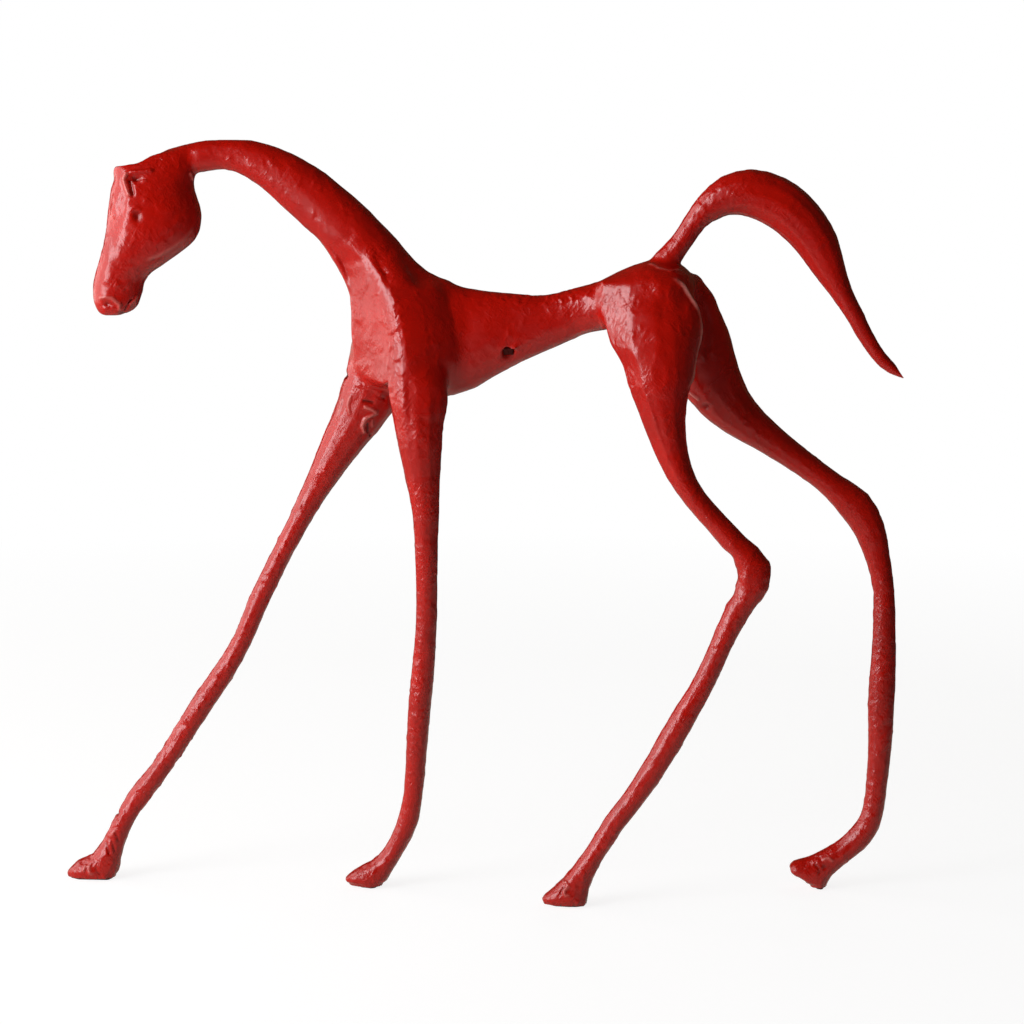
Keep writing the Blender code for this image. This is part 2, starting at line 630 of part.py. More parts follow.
def build():
    clear_scene()
    red = paint("gloss_red_paint", RED_PAINT, 0.3, 0.0)
    dull_red = paint("dull_red_paint", DULL_RED_PAINT, 0.45, 0.0)
    putty = paint("painted_putty", PUTTY_RED, 0.5, 0.0)
    steel = paint("armature_steel", STEEL, 0.35, 1.0)
    rubber = paint("foot_pad_rubber", PAD_BLACK, 0.8, 0.0)

    legs = {
        "front_left": (FRONT_LEFT_RIBS, FRONT_LEFT_JOINT, FRONT_LEG_WIRE_LENGTH),
        "front_right": (FRONT_RIGHT_RIBS, FRONT_RIGHT_JOINT, FRONT_LEG_WIRE_LENGTH),
        "hind_left": (HIND_LEFT_RIBS, HIND_LEFT_JOINT, HIND_LEG_WIRE_LENGTH),
        "hind_right": (HIND_RIGHT_RIBS, HIND_RIGHT_JOINT, HIND_LEG_WIRE_LENGTH),
    }

    # The body: trunk, the tops of the four legs and the root of the tail, smoothed together
    trunk = limb_mesh("trunk", TRUNK_RIBS, TRUNK_RING_STEP, TRUNK_SIDES, HEAD_JOINT, behind=LIMB_ROOT)
    trim(trunk, joint_place(HEAD_JOINT) + joint_way(HEAD_JOINT) * JOINT_OVERRUN, joint_way(HEAD_JOINT))
    parts = [trunk]
    parts.append(body_side(TAIL_RIBS, TAIL_RING_STEP, LIMB_SIDES, TAIL_JOINT))
    for ribs, joint, _ in legs.values():
        parts.append(body_side(ribs, LEG_RING_STEP, LIMB_SIDES, joint))
    joints = [HEAD_JOINT, TAIL_JOINT] + [joint for _, joint, _ in legs.values()]
    body_mesh = blend("body_casting", parts, BODY_GRAIN, BODY_SMOOTHING_PASSES, BODY_FACES, joints)
    body = add_object("body_casting", body_mesh, red)
    shade_round(body.data)
    for k, joint in enumerate(joints):
        cut(body, slab_cutter(f"body_end_{k}", joint, -GLUE_FACE, JOINT_OVERRUN + BORE_RUNOUT))
    belly_plug(body, putty)

    # The head and its putty bed
    way = joint_way(HEAD_JOINT)
    neck_end = limb_mesh("neck_end", TRUNK_RIBS, TRUNK_RING_STEP, TRUNK_SIDES, HEAD_JOINT, ahead=LIMB_ROOT)
    trim(neck_end, joint_place(HEAD_JOINT) - way * JOINT_OVERRUN, -way)
    parts = [head_mesh("head"), neck_end]
    skin = blend("head_casting", parts, HEAD_GRAIN, HEAD_SMOOTHING_PASSES, HEAD_FACES, [HEAD_JOINT])
    head = add_object("head_casting", skin, red)
    shade_round(head.data)
    cut(head, slab_cutter("head_end", HEAD_JOINT, -JOINT_OVERRUN - BORE_RUNOUT, GLUE_FACE))
    head_bed = putty_bed("head_putty", TRUNK_RIBS, TRUNK_RING_STEP, TRUNK_SIDES, HEAD_JOINT, putty)
    route = wire_route(TRUNK_RIBS, HEAD_JOINT, 0.0, NECK_WIRE_IN_BODY, WIRE_RING_STEP)
    tip = joint_place(HEAD_JOINT) + way * NECK_WIRE_IN_HEAD
    route = np.vstack([tip, (tip + route[0]) / 2, route])
    add_wire("neck_wire", route, NECK_WIRE_DIAMETER, steel, [body, head, head_bed])

    # The tail and its putty bed
    tail = end_piece("tail_casting", TAIL_RIBS, TAIL_RING_STEP, TAIL_JOINT, red)
    shade_round(tail.data)
    tail_bed = putty_bed("tail_putty", TAIL_RIBS, TAIL_RING_STEP, LIMB_SIDES, TAIL_JOINT, putty)
    route = wire_route(TAIL_RIBS, TAIL_JOINT, TAIL_WIRE_IN_BODY, TAIL_WIRE_LENGTH, WIRE_RING_STEP)
    add_wire("tail_wire", route, TAIL_WIRE_DIAMETER, steel, [body, tail, tail_bed])

    # The four legs, each with its putty bed, wire and foot pad
    for name, (ribs, joint, wire_length) in legs.items():
        leg = end_piece(name + "_leg", ribs, LEG_RING_STEP, joint, dull_red)
        trim(leg.data, (0, 0, SOLE_HEIGHT), (0, 0, -1))
        shade_round(leg.data)
        bed = putty_bed(name + "_putty", ribs, LEG_RING_STEP, LIMB_SIDES, joint, putty)
        route = wire_route(ribs, joint, LEG_WIRE_IN_BODY, wire_length, WIRE_RING_STEP)
        add_wire(name + "_wire", route, LEG_WIRE_DIAMETER, steel, [body, leg, bed])
        add_pad(name + "_foot_pad", leg, rubber)


build()
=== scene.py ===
"""A glossy red hand modelled horse ornament on a plain white studio floor."""

import bmesh
import bpy
import numpy as np
from math import cos, radians, sin
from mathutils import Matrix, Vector, noise
from mathutils.kdtree import KDTree
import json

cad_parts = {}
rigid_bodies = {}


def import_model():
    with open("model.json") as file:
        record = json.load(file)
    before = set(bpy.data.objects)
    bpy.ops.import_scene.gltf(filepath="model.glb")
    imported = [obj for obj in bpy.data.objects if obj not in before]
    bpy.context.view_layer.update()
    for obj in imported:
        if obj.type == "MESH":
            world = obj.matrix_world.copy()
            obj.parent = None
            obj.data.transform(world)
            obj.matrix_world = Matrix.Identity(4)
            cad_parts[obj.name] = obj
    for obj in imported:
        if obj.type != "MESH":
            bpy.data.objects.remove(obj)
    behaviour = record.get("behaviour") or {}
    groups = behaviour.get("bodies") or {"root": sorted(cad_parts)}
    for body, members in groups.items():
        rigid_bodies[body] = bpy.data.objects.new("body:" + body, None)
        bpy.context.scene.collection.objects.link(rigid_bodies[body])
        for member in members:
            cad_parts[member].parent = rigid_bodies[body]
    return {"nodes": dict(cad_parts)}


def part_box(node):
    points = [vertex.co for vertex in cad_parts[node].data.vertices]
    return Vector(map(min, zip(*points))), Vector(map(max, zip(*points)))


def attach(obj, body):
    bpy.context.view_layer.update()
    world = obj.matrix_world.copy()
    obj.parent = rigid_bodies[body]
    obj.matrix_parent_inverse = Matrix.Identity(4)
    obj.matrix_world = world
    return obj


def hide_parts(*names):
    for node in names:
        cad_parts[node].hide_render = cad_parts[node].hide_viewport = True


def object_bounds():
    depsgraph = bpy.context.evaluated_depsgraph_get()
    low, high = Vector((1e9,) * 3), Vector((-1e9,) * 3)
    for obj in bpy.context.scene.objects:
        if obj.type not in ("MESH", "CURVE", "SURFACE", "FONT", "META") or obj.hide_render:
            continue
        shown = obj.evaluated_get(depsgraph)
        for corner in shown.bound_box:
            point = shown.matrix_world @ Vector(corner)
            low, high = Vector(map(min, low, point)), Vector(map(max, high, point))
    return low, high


for leftover in list(bpy.data.objects):
    bpy.data.objects.remove(leftover, do_unlink=True)

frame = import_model()
cad_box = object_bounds()

MM = 0.001

# The clay skin, in millimetres
WELD = 0.001
SWELL = 0.3
GRAIN = 0.7
SMOOTHING_PASSES = 90
SMOOTHING_IN = 0.5
SMOOTHING_OUT = -0.513
OUTWARD = -0.05
SOLE_LEVEL = 0.95
SOLE_BAND = 0.9
BORE_SLACK = 0.3
SLAB_MARGIN = 3.5
PUTTY_THICKNESS = 1.8
BOX_SLACK = 0.02
PLUG_GRAIN = 0.25

# Each joint's middle in millimetres, and its way along the limb
JOINTS = {
    "head": ((-130.5, 0, 356.5), (-1.0, 0, -0.1)),
    "tail": ((92.5, 0, 309), (0.3, 0, 0.95)),
    "front_left": ((-24, -16, 236), (0.0, 0, -1.0)),
    "front_right": ((-53, 9.5, 244), (-0.5, 0, -0.86)),
    "hind_left": ((91.5, -20, 238.5), (0.1, 0, -1.0)),
    "hind_right": ((118, 19, 242.5), (0.54, 0, -0.84)),
}
CASTINGS = {
    "body_casting": "red_paint",
    "head_casting": "red_paint",
    "tail_casting": "red_paint",
    "front_left_leg": "leg_paint",
    "front_right_leg": "leg_paint",
    "hind_left_leg": "leg_paint",
    "hind_right_leg": "leg_paint",
}
LEGS = list(JOINTS)[2:]
WIRES = ["neck_wire", "tail_wire"] + [leg + "_wire" for leg in LEGS]
PUTTIES = [joint + "_putty" for joint in JOINTS]
PADS = [leg + "_foot_pad" for leg in LEGS]

# How steeply a mark fades with distance, and as the skin turns away
FALL = 2
FACING_STEEPNESS = 2

# A line's points go to the nearest skin, where depth counts little and the far side costs extra
DEPTH_WEIGHT = 0.15
FAR_SIDE_COST = 9

# The share of a line over which each of its ends fades
FADE = 0.12

# How far off a sheet still pulls the skin, and the distance over which its pull dies away
SHEET_REACH = 15.0
SHEET_FALL = 3

# How far a pass of smoothing moves a point towards the mean of its neighbours
SMOOTH_SHARE = 0.5

# Strokes: the most that the near side faces away, their reach in lengths, and how high they pile up
NEAR_FACING = 0.2
STROKE_REACH = 1.6
SHORTEST_WAY = 0.1
MARK_LIMIT = 0.5

# How much a sole faces down
SOLE_FACING = -0.6

# Uneven clay: the size of its lumps, their height, what they gain towards the hooves, and an offset
LUMPS = [(14, 0.2, 0.0, (0, 0, 0)), (5, 0.06, 0.05, (7, 3, 1)), (2.4, 0.02, 0.03, (1, 9, 4))]
LOW_FROM = 240
LOW_RUN = 130

# Where a cut piece counts as skin, in grains, and how alike its facings must be to be shaded round
ON_SKIN = 0.75
ALIKE = 0.35

# The plug's dab of putty
PLUG_PASSES = 12
PLUG_RELIEF = 0.12
PLUG_LUMP = 0.9

# The camera, in metres and degrees
CAMERA_TURN = 5
CAMERA_RISE = 8
CAMERA_AIM = (0.0186, 0, 0.1873)
CAMERA_DISTANCE = 1.3653
LENS = 100
SENSOR = 36

# The paint's edges, paler for wear and a painted highlight, its creases darker as painted shade, and how its
# brush strokes lean, in radians
WORN_PALE_AND_HIGHLIGHT = (0.80, 0.28, 0.24)
CREASE_SHADE = (0.05, 0.003, 0.002)
BRUSH_LEANS = (0.65, -0.75)

# The lights: place and size in metres, power in watts, colour, and whether the paint mirrors them
LIGHT_AIM = (0, 0, 0.2)
LIGHTS = {
    "panel": ((-1.45, -0.12, 0.5), (2.5, 1.9), 27, (1.0, 0.97, 0.95), True),
    "key": ((-0.92, -0.77, 0.54), (0.62, 1.05), 10, (0.95, 0.96, 1.0), True),
    "fill": ((-1.2, -2.0, 0.9), (1.2, 1.2), 7, (1, 1, 1), False),
    "back": ((0.9, 1.6, 1.3), (1.2, 1.2), 6, (1, 1, 1), False),
}

# The floor, in metres: its size, where its shadows fade out, and its colours
FLOOR_HALF = 12
FLOOR_SQUARES = 8
FLOOR_NEAR = 0.6
FLOOR_FAR = 1.2
FLOOR_COLOUR = (0.85, 0.85, 0.85, 1)
FLOOR_WHITE = 0.85
SHADOW_SHARE = 0.25
SHADOW_COLOUR = (SHADOW_SHARE, SHADOW_SHARE, SHADOW_SHARE, 1)

# The floor's glow seen only in the paint's reflections, a painted reflection: its strength under the horse,
# far from it and far ahead of its head, and its colour
PAINTED_REFLECTION = 0.42
PAINTED_REFLECTION_FAR = 0.03
REFLECTED_FROM = 0.3
REFLECTED_TO = 0.65
PAINTED_REFLECTION_AHEAD = 0.6
AHEAD_FROM = -0.9
AHEAD_TO = -0.4
PAINTED_REFLECTION_COLOUR = (1.0, 0.85, 0.73, 1)

# The room's own light, and its colour
ROOM_LIGHT = 0.035
ROOM_COLOUR = (1.0, 0.8, 0.45)


# Mesh helpers


def link(name, data):
    """A new object in the scene."""
    obj = bpy.data.objects.new(name, data)
    bpy.context.scene.collection.objects.link(obj)
    return obj


def drop(obj):
    """Takes an object and its mesh away again."""
    mesh = obj.data
    bpy.data.objects.remove(obj, do_unlink=True)
    bpy.data.meshes.remove(mesh)


def evaluated(obj):
    """A new mesh of an object with its modifiers applied."""
    graph = bpy.context.evaluated_depsgraph_get()
    return bpy.data.meshes.new_from_object(obj.evaluated_get(graph))


def places(mesh):
    """The vertices of a mesh, in millimetres."""
    flat = np.empty(3 * len(mesh.vertices), np.float32)
    mesh.vertices.foreach_get("co", flat)
    return flat.reshape(-1, 3).astype(float) / MM


def swollen(names, amount):
    """The CAD solids with these names in one mesh, each of them larger all round."""
    bm = bmesh.new()
    for name in names:
        bm.from_mesh(frame["nodes"][name].data)
    bmesh.ops.remove_doubles(bm, verts=bm.verts, dist=WELD * MM)
    bm.normal_update()
    moved = [v.co + v.normal * v.calc_shell_factor() * amount * MM for v in bm.verts]
    for vertex, place in zip(bm.verts, moved):
        vertex.co = place
    mesh = bpy.data.meshes.new("swollen")
    bm.to_mesh(mesh)
    bm.free()
    return mesh


def clay_skin():
    """One closed skin round all the castings and putty beds, without the bores inside."""
    rough = link("clay", swollen([*CASTINGS, *PUTTIES], SWELL))
    remesh = rough.modifiers.new("clay", "REMESH")
    remesh.mode = "VOXEL"
    remesh.voxel_size = GRAIN * MM
    mesh = evaluated(rough)
    drop(rough)
    bm = bmesh.new()
    bm.from_mesh(mesh)
    bpy.data.meshes.remove(mesh)
    loose = set(bm.verts)
    islands = []
    while loose:
        edge = [loose.pop()]
        island = list(edge)
        while edge:
            reached = [e.other_vert(v) for v in edge for e in v.link_edges]
            edge = [v for v in set(reached) if v in loose]
            loose.difference_update(edge)
            island += edge
        islands.append(island)
    largest = max(islands, key=len)
    for island in islands:
        if island is not largest:
            bmesh.ops.delete(bm, geom=island, context="VERTS")
    skin = bpy.data.meshes.new("skin")
    bm.to_mesh(skin)
    bm.free()
    return skin


class Skin:
    """The skin's vertices as arrays, in millimetres."""

    def __init__(self, mesh):
        self.mesh = mesh
        self.at = places(mesh)
        edges = np.empty(2 * len(mesh.edges), np.int32)
        mesh.edges.foreach_get("vertices", edges)
        self.ends = edges.reshape(-1, 2).T
        self.count = len(self.at)
        self.links = np.bincount(self.ends.ravel(), minlength=self.count)
        corners = np.empty(len(mesh.loops), np.int32)
        mesh.loops.foreach_get("vertex_index", corners)
        self.quads = corners.reshape(-1, 4)
        # How much paler, for wear and a painted highlight, or darker, as painted shade, the paint is at each
        # vertex
        self.wear_and_painted_light = np.zeros(self.count)
        self.refresh()

    def mean_of_links(self, values):
        a, b = self.ends
        total = np.bincount(a, values[b], self.count) + np.bincount(b, values[a], self.count)
        return total / self.links

    def relax(self, passes, inward, outward):
        for _ in range(passes):
            for share in (inward, outward):
                for k in range(3):
                    self.at[:, k] += share * (self.mean_of_links(self.at[:, k]) - self.at[:, k])
        self.refresh()

    def refresh(self):
        """Works out the direction that the skin faces at each vertex."""
        a, b, c, d = (self.at[self.quads[:, k]] for k in range(4))
        facing = np.cross(c - a, d - b)
        self.way = np.zeros_like(self.at)
        for k in range(3):
            for corner in range(4):
                self.way[:, k] += np.bincount(self.quads[:, corner], facing[:, k], self.count)
        self.way /= np.linalg.norm(self.way, axis=1, keepdims=True)

    def push(self, amount):
        """Moves each vertex out along its own direction."""
        self.at += self.way * amount[:, None]
        self.refresh()


skin = Skin(clay_skin())
skin.relax(SMOOTHING_PASSES, SMOOTHING_IN, SMOOTHING_OUT)
skin.push(np.full(skin.count, OUTWARD))


# Marks of the hand in the clay


def ease(values):
    """0 below 0, 1 above 1, and smooth between."""
    share = np.clip(values, 0, 1)
    return share * share * (3 - 2 * share)


def hump(values):
    """1 at 0, falling smoothly to nothing at -1 and 1."""
    return 1 - ease(np.abs(values))


def on_near_side(place):
    """The point of the skin's near side behind a place."""
    offset = (skin.at - place) * (1, DEPTH_WEIGHT, 1)
    return skin.at[((offset**2).sum(1) + FAR_SIDE_COST * (skin.way[:, 1] > 0)).argmin()]


def beside(points, reach):
    """The vertices near a line on the skin, how far left of it, and how far along it from 0 to 1."""
    line = np.array([(place[0], on_near_side(place)[1], place[2]) for place in points])
    line[1:-1, 1] = (line[:-2, 1] + 2 * line[1:-1, 1] + line[2:, 1]) / 4
    low, high = line.min(0) - reach, line.max(0) + reach
    close = np.flatnonzero(((skin.at > low) & (skin.at < high)).all(1))
    at = skin.at[close]
    lengths = np.linalg.norm(np.diff(line, axis=0), axis=1)
    run = np.concatenate([[0], np.cumsum(lengths)])
    best = np.full(len(close), np.inf)
    aside = np.zeros(len(close))
    along = np.zeros(len(close))
    for k, length in enumerate(lengths):
        way = (line[k + 1] - line[k]) / length
        share = np.clip((at - line[k]) @ way, 0, length)
        offset = at - line[k] - share[:, None] * way
        apart = np.linalg.norm(offset, axis=1)
        nearer = apart < best
        left = np.cross(way, skin.way[close])
        sign = np.sign((offset * left).sum(1))
        best = np.where(nearer, apart, best)
        aside = np.where(nearer, apart * sign, aside)
        along = np.where(nearer, (run[k] + share) / run[-1], along)
    kept = best < reach
    return close[kept], aside[kept], along[kept]


def fade(along, start=FADE, end=FADE):
    """Nothing at both ends of a line, and 1 between."""
    return ease(along / start) * ease((1 - along) / end)


def bead(points, width, height, wear_and_painted_light=0.0, start=FADE, end=FADE):
    """A raised line, or a groove where the height is negative, with paler paint on it for wear and a painted
    highlight, or darker paint as painted shade.
    """
    near, aside, along = beside(points, width)
    share = np.zeros(skin.count)
    share[near] = hump(aside / width) * fade(along, start, end)
    skin.wear_and_painted_light += wear_and_painted_light * share
    skin.push(height * share)


def run_down(line):
    """The x and y, at each vertex's height, of a line that runs down the near side."""
    line = np.array(line[::-1], float)
    return (np.interp(skin.at[:, 2], line[:, 2], line[:, k]) for k in (0, 1))


def sheet(left, right, arch=0.0, soft=(2.0, 1.0), ends=(6, 6), brim=None):
    """Lays the near side between two lines to a sheet, flat or arched across, down to a brim."""
    x, y, z = skin.at.T
    left_x, left_y = run_down(left)
    right_x, right_y = run_down(right)
    across = (x - left_x) / (right_x - left_x)
    off = left_y + (right_y - left_y) * (across + arch * across * (1 - across)) - y
    low = max(left[-1][2], right[-1][2])
    if brim:
        low = np.interp(x, *zip(*brim)) - ends[0] / 2
    share = ease((z - low) / ends[0]) * ease((min(left[0][2], right[0][2]) - z) / ends[1])
    share *= ease((x - left_x) / soft[0] / 2 + 0.5) * ease((right_x - x) / soft[1] / 2 + 0.5)
    share *= ease((SHEET_REACH - np.abs(off)) / SHEET_FALL) * (skin.way[:, 1] < 0)
    skin.at[:, 1] += share * off
    skin.refresh()


def fading(middle, radii, facing=None):
    """1 at a point and less round it, and nothing where the skin doesn't face a given way."""
    offset = (skin.at - middle) / radii
    share = np.exp(-(offset**2).sum(1) * FALL)
    if facing is not None:
        share *= ease((skin.way @ np.array(facing, float)) * FACING_STEEPNESS)
    return share


def inside_of(middle, radii):
    """1 in an egg shaped region, with a soft edge."""
    return np.exp(-((((skin.at - middle) / radii) ** 2).sum(1)) ** 2)


def bump(middle, radii, height, facing=None, wear_and_painted_light=0.0):
    """A soft swelling or hollow round a point, where given with darker paint as painted shade, or paler
    paint.
    """
    share = fading(middle, radii, facing)
    skin.wear_and_painted_light += wear_and_painted_light * share
    skin.push(height * share)


def shift(middle, radii, move, facing=None):
    """Moves the clay round a point sideways."""
    skin.at += fading(middle, radii, facing)[:, None] * np.array(move, float)
    skin.refresh()


def smooth(middle, radii, passes):
    """Evens out the clay in a soft edged region."""
    share = SMOOTH_SHARE * inside_of(middle, radii)
    for _ in range(passes):
        for k in range(3):
            skin.at[:, k] += share * (skin.mean_of_links(skin.at[:, k]) - skin.at[:, k])
    skin.refresh()


def plane(place, facing, region, radii, soft, share=1.0):
    """Planes the clay off beyond a flat face through a place, in a soft edged region."""
    facing = np.array(facing, float) / np.linalg.norm(facing)
    beyond = (skin.at - place) @ facing
    cut = np.where(beyond > -soft, (beyond + soft) ** 2 / (4 * soft), 0)
    cut = np.where(beyond > soft, beyond, cut)
    skin.at -= share * (cut * inside_of(region, radii))[:, None] * facing
    skin.refresh()


# The outline: small moves of the clay, as place, reach and move
MOVES = [
    ((-74, 0, 314), (9, 16, 16), (0.9, 0, 0.7)),
    ((-66, 4, 300), (5, 16, 9), (0.6, 0, 0.3)),
    ((-61, 5, 272), (4, 14, 14), (-0.5, 0, 0)),
    ((-42, 8, 236), (7, 10, 9), (2.4, 0, -0.6)),
    ((-45, 9, 222), (6, 9, 14), (1.2, 0, -0.6)),
    ((60, -14, 270), (7, 14, 6), (-1.2, 0, -1.2)),
    ((101, 10, 240), (7, 12, 6), (0, 0, -1.5)),
    ((-150, 0, 310), (14, 16, 10), (0.5, 0, -0.8)),
    ((-99, 0, 333), (16, 14, 7), (0, 0, -0.6)),
    ((18, 0, 290), (30, 16, 6), (0, 0, 0.4)),
    ((113, 8, 290), (6, 12, 9), (1.2, 0, 0.3)),
]
for place, reach, move in MOVES:
    shift(place, reach, move=move)

# The shoulder: a flat front with a brim over the far leg, a rounded ridge down the near leg, and a
# hollow side behind it, each between lines that run down the near side, left and right as the camera
# sees them
CHEST_LEFT = [
    (-71, -4, 320), (-68.5, -4, 315), (-63.5, -4, 308), (-60.5, -3.6, 300), (-58.5, -3.8, 290),
    (-58.5, -3.2, 280), (-58.5, -2, 270), (-58.5, 0, 262), (-58, 0.8, 256), (-57, 1, 248),
]
CHEST_RIGHT = [
    (-59.5, -10.3, 320), (-56, -10.6, 315), (-51.5, -11, 308), (-47, -13.6, 300), (-41, -18.4, 290),
    (-38.8, -20.4, 280), (-37.1, -21.3, 270), (-36.6, -22, 262), (-36, -22.6, 256), (-35.6, -23, 250),
    (-34.4, -23.2, 240), (-33, -22.6, 230),
]
CREST = [
    (-52.5, -10.3, 320), (-50, -10.9, 315), (-45.3, -12.9, 308), (-40.3, -16.9, 300), (-35.8, -21.4, 290),
    (-32.2, -24.1, 280), (-30.2, -25.3, 270), (-29.4, -25.9, 262), (-29.2, -26.1, 256), (-29.1, -26.3, 250),
    (-28.9, -26.5, 240), (-27.8, -26, 230),
]
SHOULDER_REAR = [
    (-17, -8.6, 300), (-11.5, -10.3, 290), (-8, -12.2, 280), (-6.5, -13.2, 270), (-6, -12.7, 262),
    (-6, -10.6, 250),
]
CHEST_BRIM = [(-62, 257), (-57, 255), (-50.3, 250.4), (-44, 248.6), (-40.4, 248), (-38, 243), (-36, 236)]
bump((-3, -13, 272), (9, 9, 22), height=-1.6, facing=(0, -1, 0))
sheet(CHEST_LEFT, CHEST_RIGHT, brim=CHEST_BRIM, ends=(5, 14))
sheet(CHEST_RIGHT, CREST, arch=0.46, soft=(1.0, 1.6), ends=(8, 14))
sheet(CREST, SHOULDER_REAR, arch=-0.75, soft=(0.7, 2.0), ends=(14, 6))
smooth((-55, -4, 264), (13, 14, 22), passes=10)
smooth((-66, -3, 310), (9, 10, 12), passes=10)
smooth((-11, -14, 256), (9, 11, 14), passes=20)
smooth((-12, -4, 298), (9, 14, 8), passes=20)
smooth((35, 0, 291), (12, 12, 6), passes=16)

# The tail's pointed tip
plane((203, 0, 254.6), facing=(0.81, 0, 0.58), region=(204, 0, 255), radii=(5, 9, 7), soft=0.3)

# The haunch: its front corner, its rear edge with a raised rim, and the lip under the tail
HAUNCH_RIM = [
    (94.7, -8, 301), (100.1, -8.3, 297), (104, -8.5, 291.8), (106.4, -9, 286), (107.9, -9.5, 279.2),
    (108.4, -10.5, 274.4), (107.6, -12, 267.8), (106.4, -14, 261), (104.5, -16, 254.4), (102, -18, 248.7),
]
shift((102, -13, 276), (10, 10, 24), move=(3.4, 0, 0), facing=(1, -0.6, 0))
bump((70, -20, 285), (9, 12, 11), height=2.2, facing=(0, -1, 0))
plane((75.5, -21.8, 290), facing=(-0.47, -0.86, 0.2), region=(68, -18, 287), radii=(13, 12, 13), soft=1.0)
HAUNCH_LEFT = [
    (61, -10.6, 303), (60.5, -12.4, 296), (60.5, -13.8, 290), (61.5, -16, 284), (63.5, -17.8, 276),
    (67, -20, 268), (71.5, -21, 260), (75, -23, 250), (79.5, -23.5, 240), (84, -23, 228), (89, -23, 216),
    (95.5, -22.6, 204),
]
HAUNCH_CORNER = [
    (75.5, -17.2, 303), (75.5, -19.5, 296), (76, -21.3, 290), (76.3, -23.7, 284), (76.3, -26.6, 276),
    (77.8, -28.8, 268), (80.5, -29.3, 260), (82.5, -29.6, 250), (86, -29.2, 240), (90, -28.3, 228),
    (94.5, -27.6, 216), (100.5, -26.6, 204),
]
HAUNCH_SIDE = [
    (88, -18.6, 303), (88, -20.9, 296), (88, -22.4, 290), (88, -25.5, 284), (88, -28.8, 276),
    (88, -30.4, 268),
]
sheet(HAUNCH_CORNER[:6], HAUNCH_SIDE, arch=0.4, soft=(1.5, 3.0))
sheet(HAUNCH_LEFT, HAUNCH_CORNER, arch=0.0, soft=(2.0, 1.5), ends=(5, 6))
smooth((71, -19, 288), (12, 11, 16), passes=30)
smooth((74, -23, 262), (9, 9, 10), passes=12)
smooth((88, -14, 301), (15, 8, 6), passes=12)
# The rim and the seam at the tail's root are paler, for wear and a painted highlight, and the groove under
# the tail is a little darker, as painted shade
bead(HAUNCH_RIM, width=1.9, height=1.2, wear_and_painted_light=1.1)
bead(
    [(104, -6, 299), (110, -6, 290), (112.5, -6, 278), (111.5, -7, 264), (107, -10, 252)],
    width=3.0, height=-1.0, wear_and_painted_light=-0.15, start=0.3, end=0.4,
)
shift((107, 2, 301), (4, 9, 3), move=(-0.6, 0, -1.2))
bead(
    [(83.5, -1, 306.5), (88.5, -6.3, 304.4), (93.7, -9.1, 303), (99, -6, 303.6)],
    width=1.6, height=0.9, wear_and_painted_light=0.7,
)

# The head: planed crown, brow and nose, ear, eye, nostril, mouth and jaw
plane((-169.9, 0, 351.6), facing=(-0.12, 0, 0.99), region=(-166, 0, 355), radii=(10, 24, 9), soft=0.3)
shift((-158, 0, 357), (6, 20, 5), move=(0, 0, -1.4))
smooth((-155, 0, 352), (8, 18, 6), passes=10)
plane(
    (-163.3, -15.5, 338), facing=(-0.66, -0.75, 0.05), region=(-170, -12, 336), radii=(11, 14, 22),
    soft=0.8, share=0.6,
)
BROW_LEFT = [(-168, -12.8, 349), (-169, -13.2, 340), (-170.5, -13.3, 334), (-171, -13.3, 325)]
BROW_RIGHT = [(-163.5, -14.7, 349), (-162, -16, 340), (-163, -16.3, 334), (-164, -16.2, 325)]
sheet(BROW_LEFT, BROW_RIGHT, arch=0.0, soft=(2.0, 0.8), ends=(5, 3))
plane(
    (-173, -14.4, 303), facing=(-0.72, -0.69, 0.0), region=(-178, -10, 300), radii=(7, 9, 22), soft=0.8,
    share=0.45,
)
shift((-172, -6, 346), (4, 18, 5), move=(1.2, 0, 0))
shift((-179, -4, 293), (6, 14, 12), move=(-0.8, 0, 0))
# The hollows and grooves of the ear, eye, nostril, mouth and jaw are darker as painted shade, and their
# raised edges paler, for wear and a painted highlight
bump((-158.5, -16, 346), (3.6, 6, 2.2), height=-2.3, facing=(0, -1, 0), wear_and_painted_light=-0.6)
bead([(-162.4, -15, 349.3), (-157, -15.5, 349.4), (-150, -15, 350.2)], width=1.3, height=0.9)
bead([(-162, -15, 346.2), (-157.5, -16, 344.6), (-153, -16, 345.6)], width=1.3, height=0.5, wear_and_painted_light=0.1)
bead(
    [(-162.2, -14.5, 349.6), (-164.4, -15, 346), (-163, -16, 341.5), (-160.8, -16.5, 337.5)],
    width=1.4, height=1.1, wear_and_painted_light=0.35,
)
bead([(-161.6, -15.4, 346.4), (-160.6, -16, 343), (-159.4, -16.5, 338)], width=1.2, height=-1.1, wear_and_painted_light=-0.5)
bump((-157.8, -16.8, 328.6), (2.6, 5, 3.6), height=-1.1, facing=(0, -1, 0), wear_and_painted_light=-0.65)
bead([(-161.4, -16.8, 331), (-158.6, -17, 332.6), (-155.6, -17, 331.4)], width=1.4, height=0.4)
bump((-173.6, -13.5, 286.6), (2.8, 5, 1.9), height=-1.6, facing=(0, -1, 0), wear_and_painted_light=-0.45)
bead(
    [
        (-178, -10, 289.2), (-174.5, -12, 290.4), (-171.4, -13.5, 289.8), (-168, -13, 286.8),
        (-168.5, -11, 283.2),
    ],
    width=1.3, height=1.0, wear_and_painted_light=0.4,
)
bead([(-166.2, -11, 283.4), (-164.8, -11.6, 286), (-162, -11, 289.2)], width=1.1, height=-1.1, wear_and_painted_light=-0.7)
bead([(-163.8, -11, 286.4), (-161, -10.8, 288.6), (-159.8, -10, 291)], width=1.0, height=0.8, wear_and_painted_light=0.35)
bump((-167.5, -9, 282.3), (1.8, 5, 1.2), height=-0.6, wear_and_painted_light=-0.8)
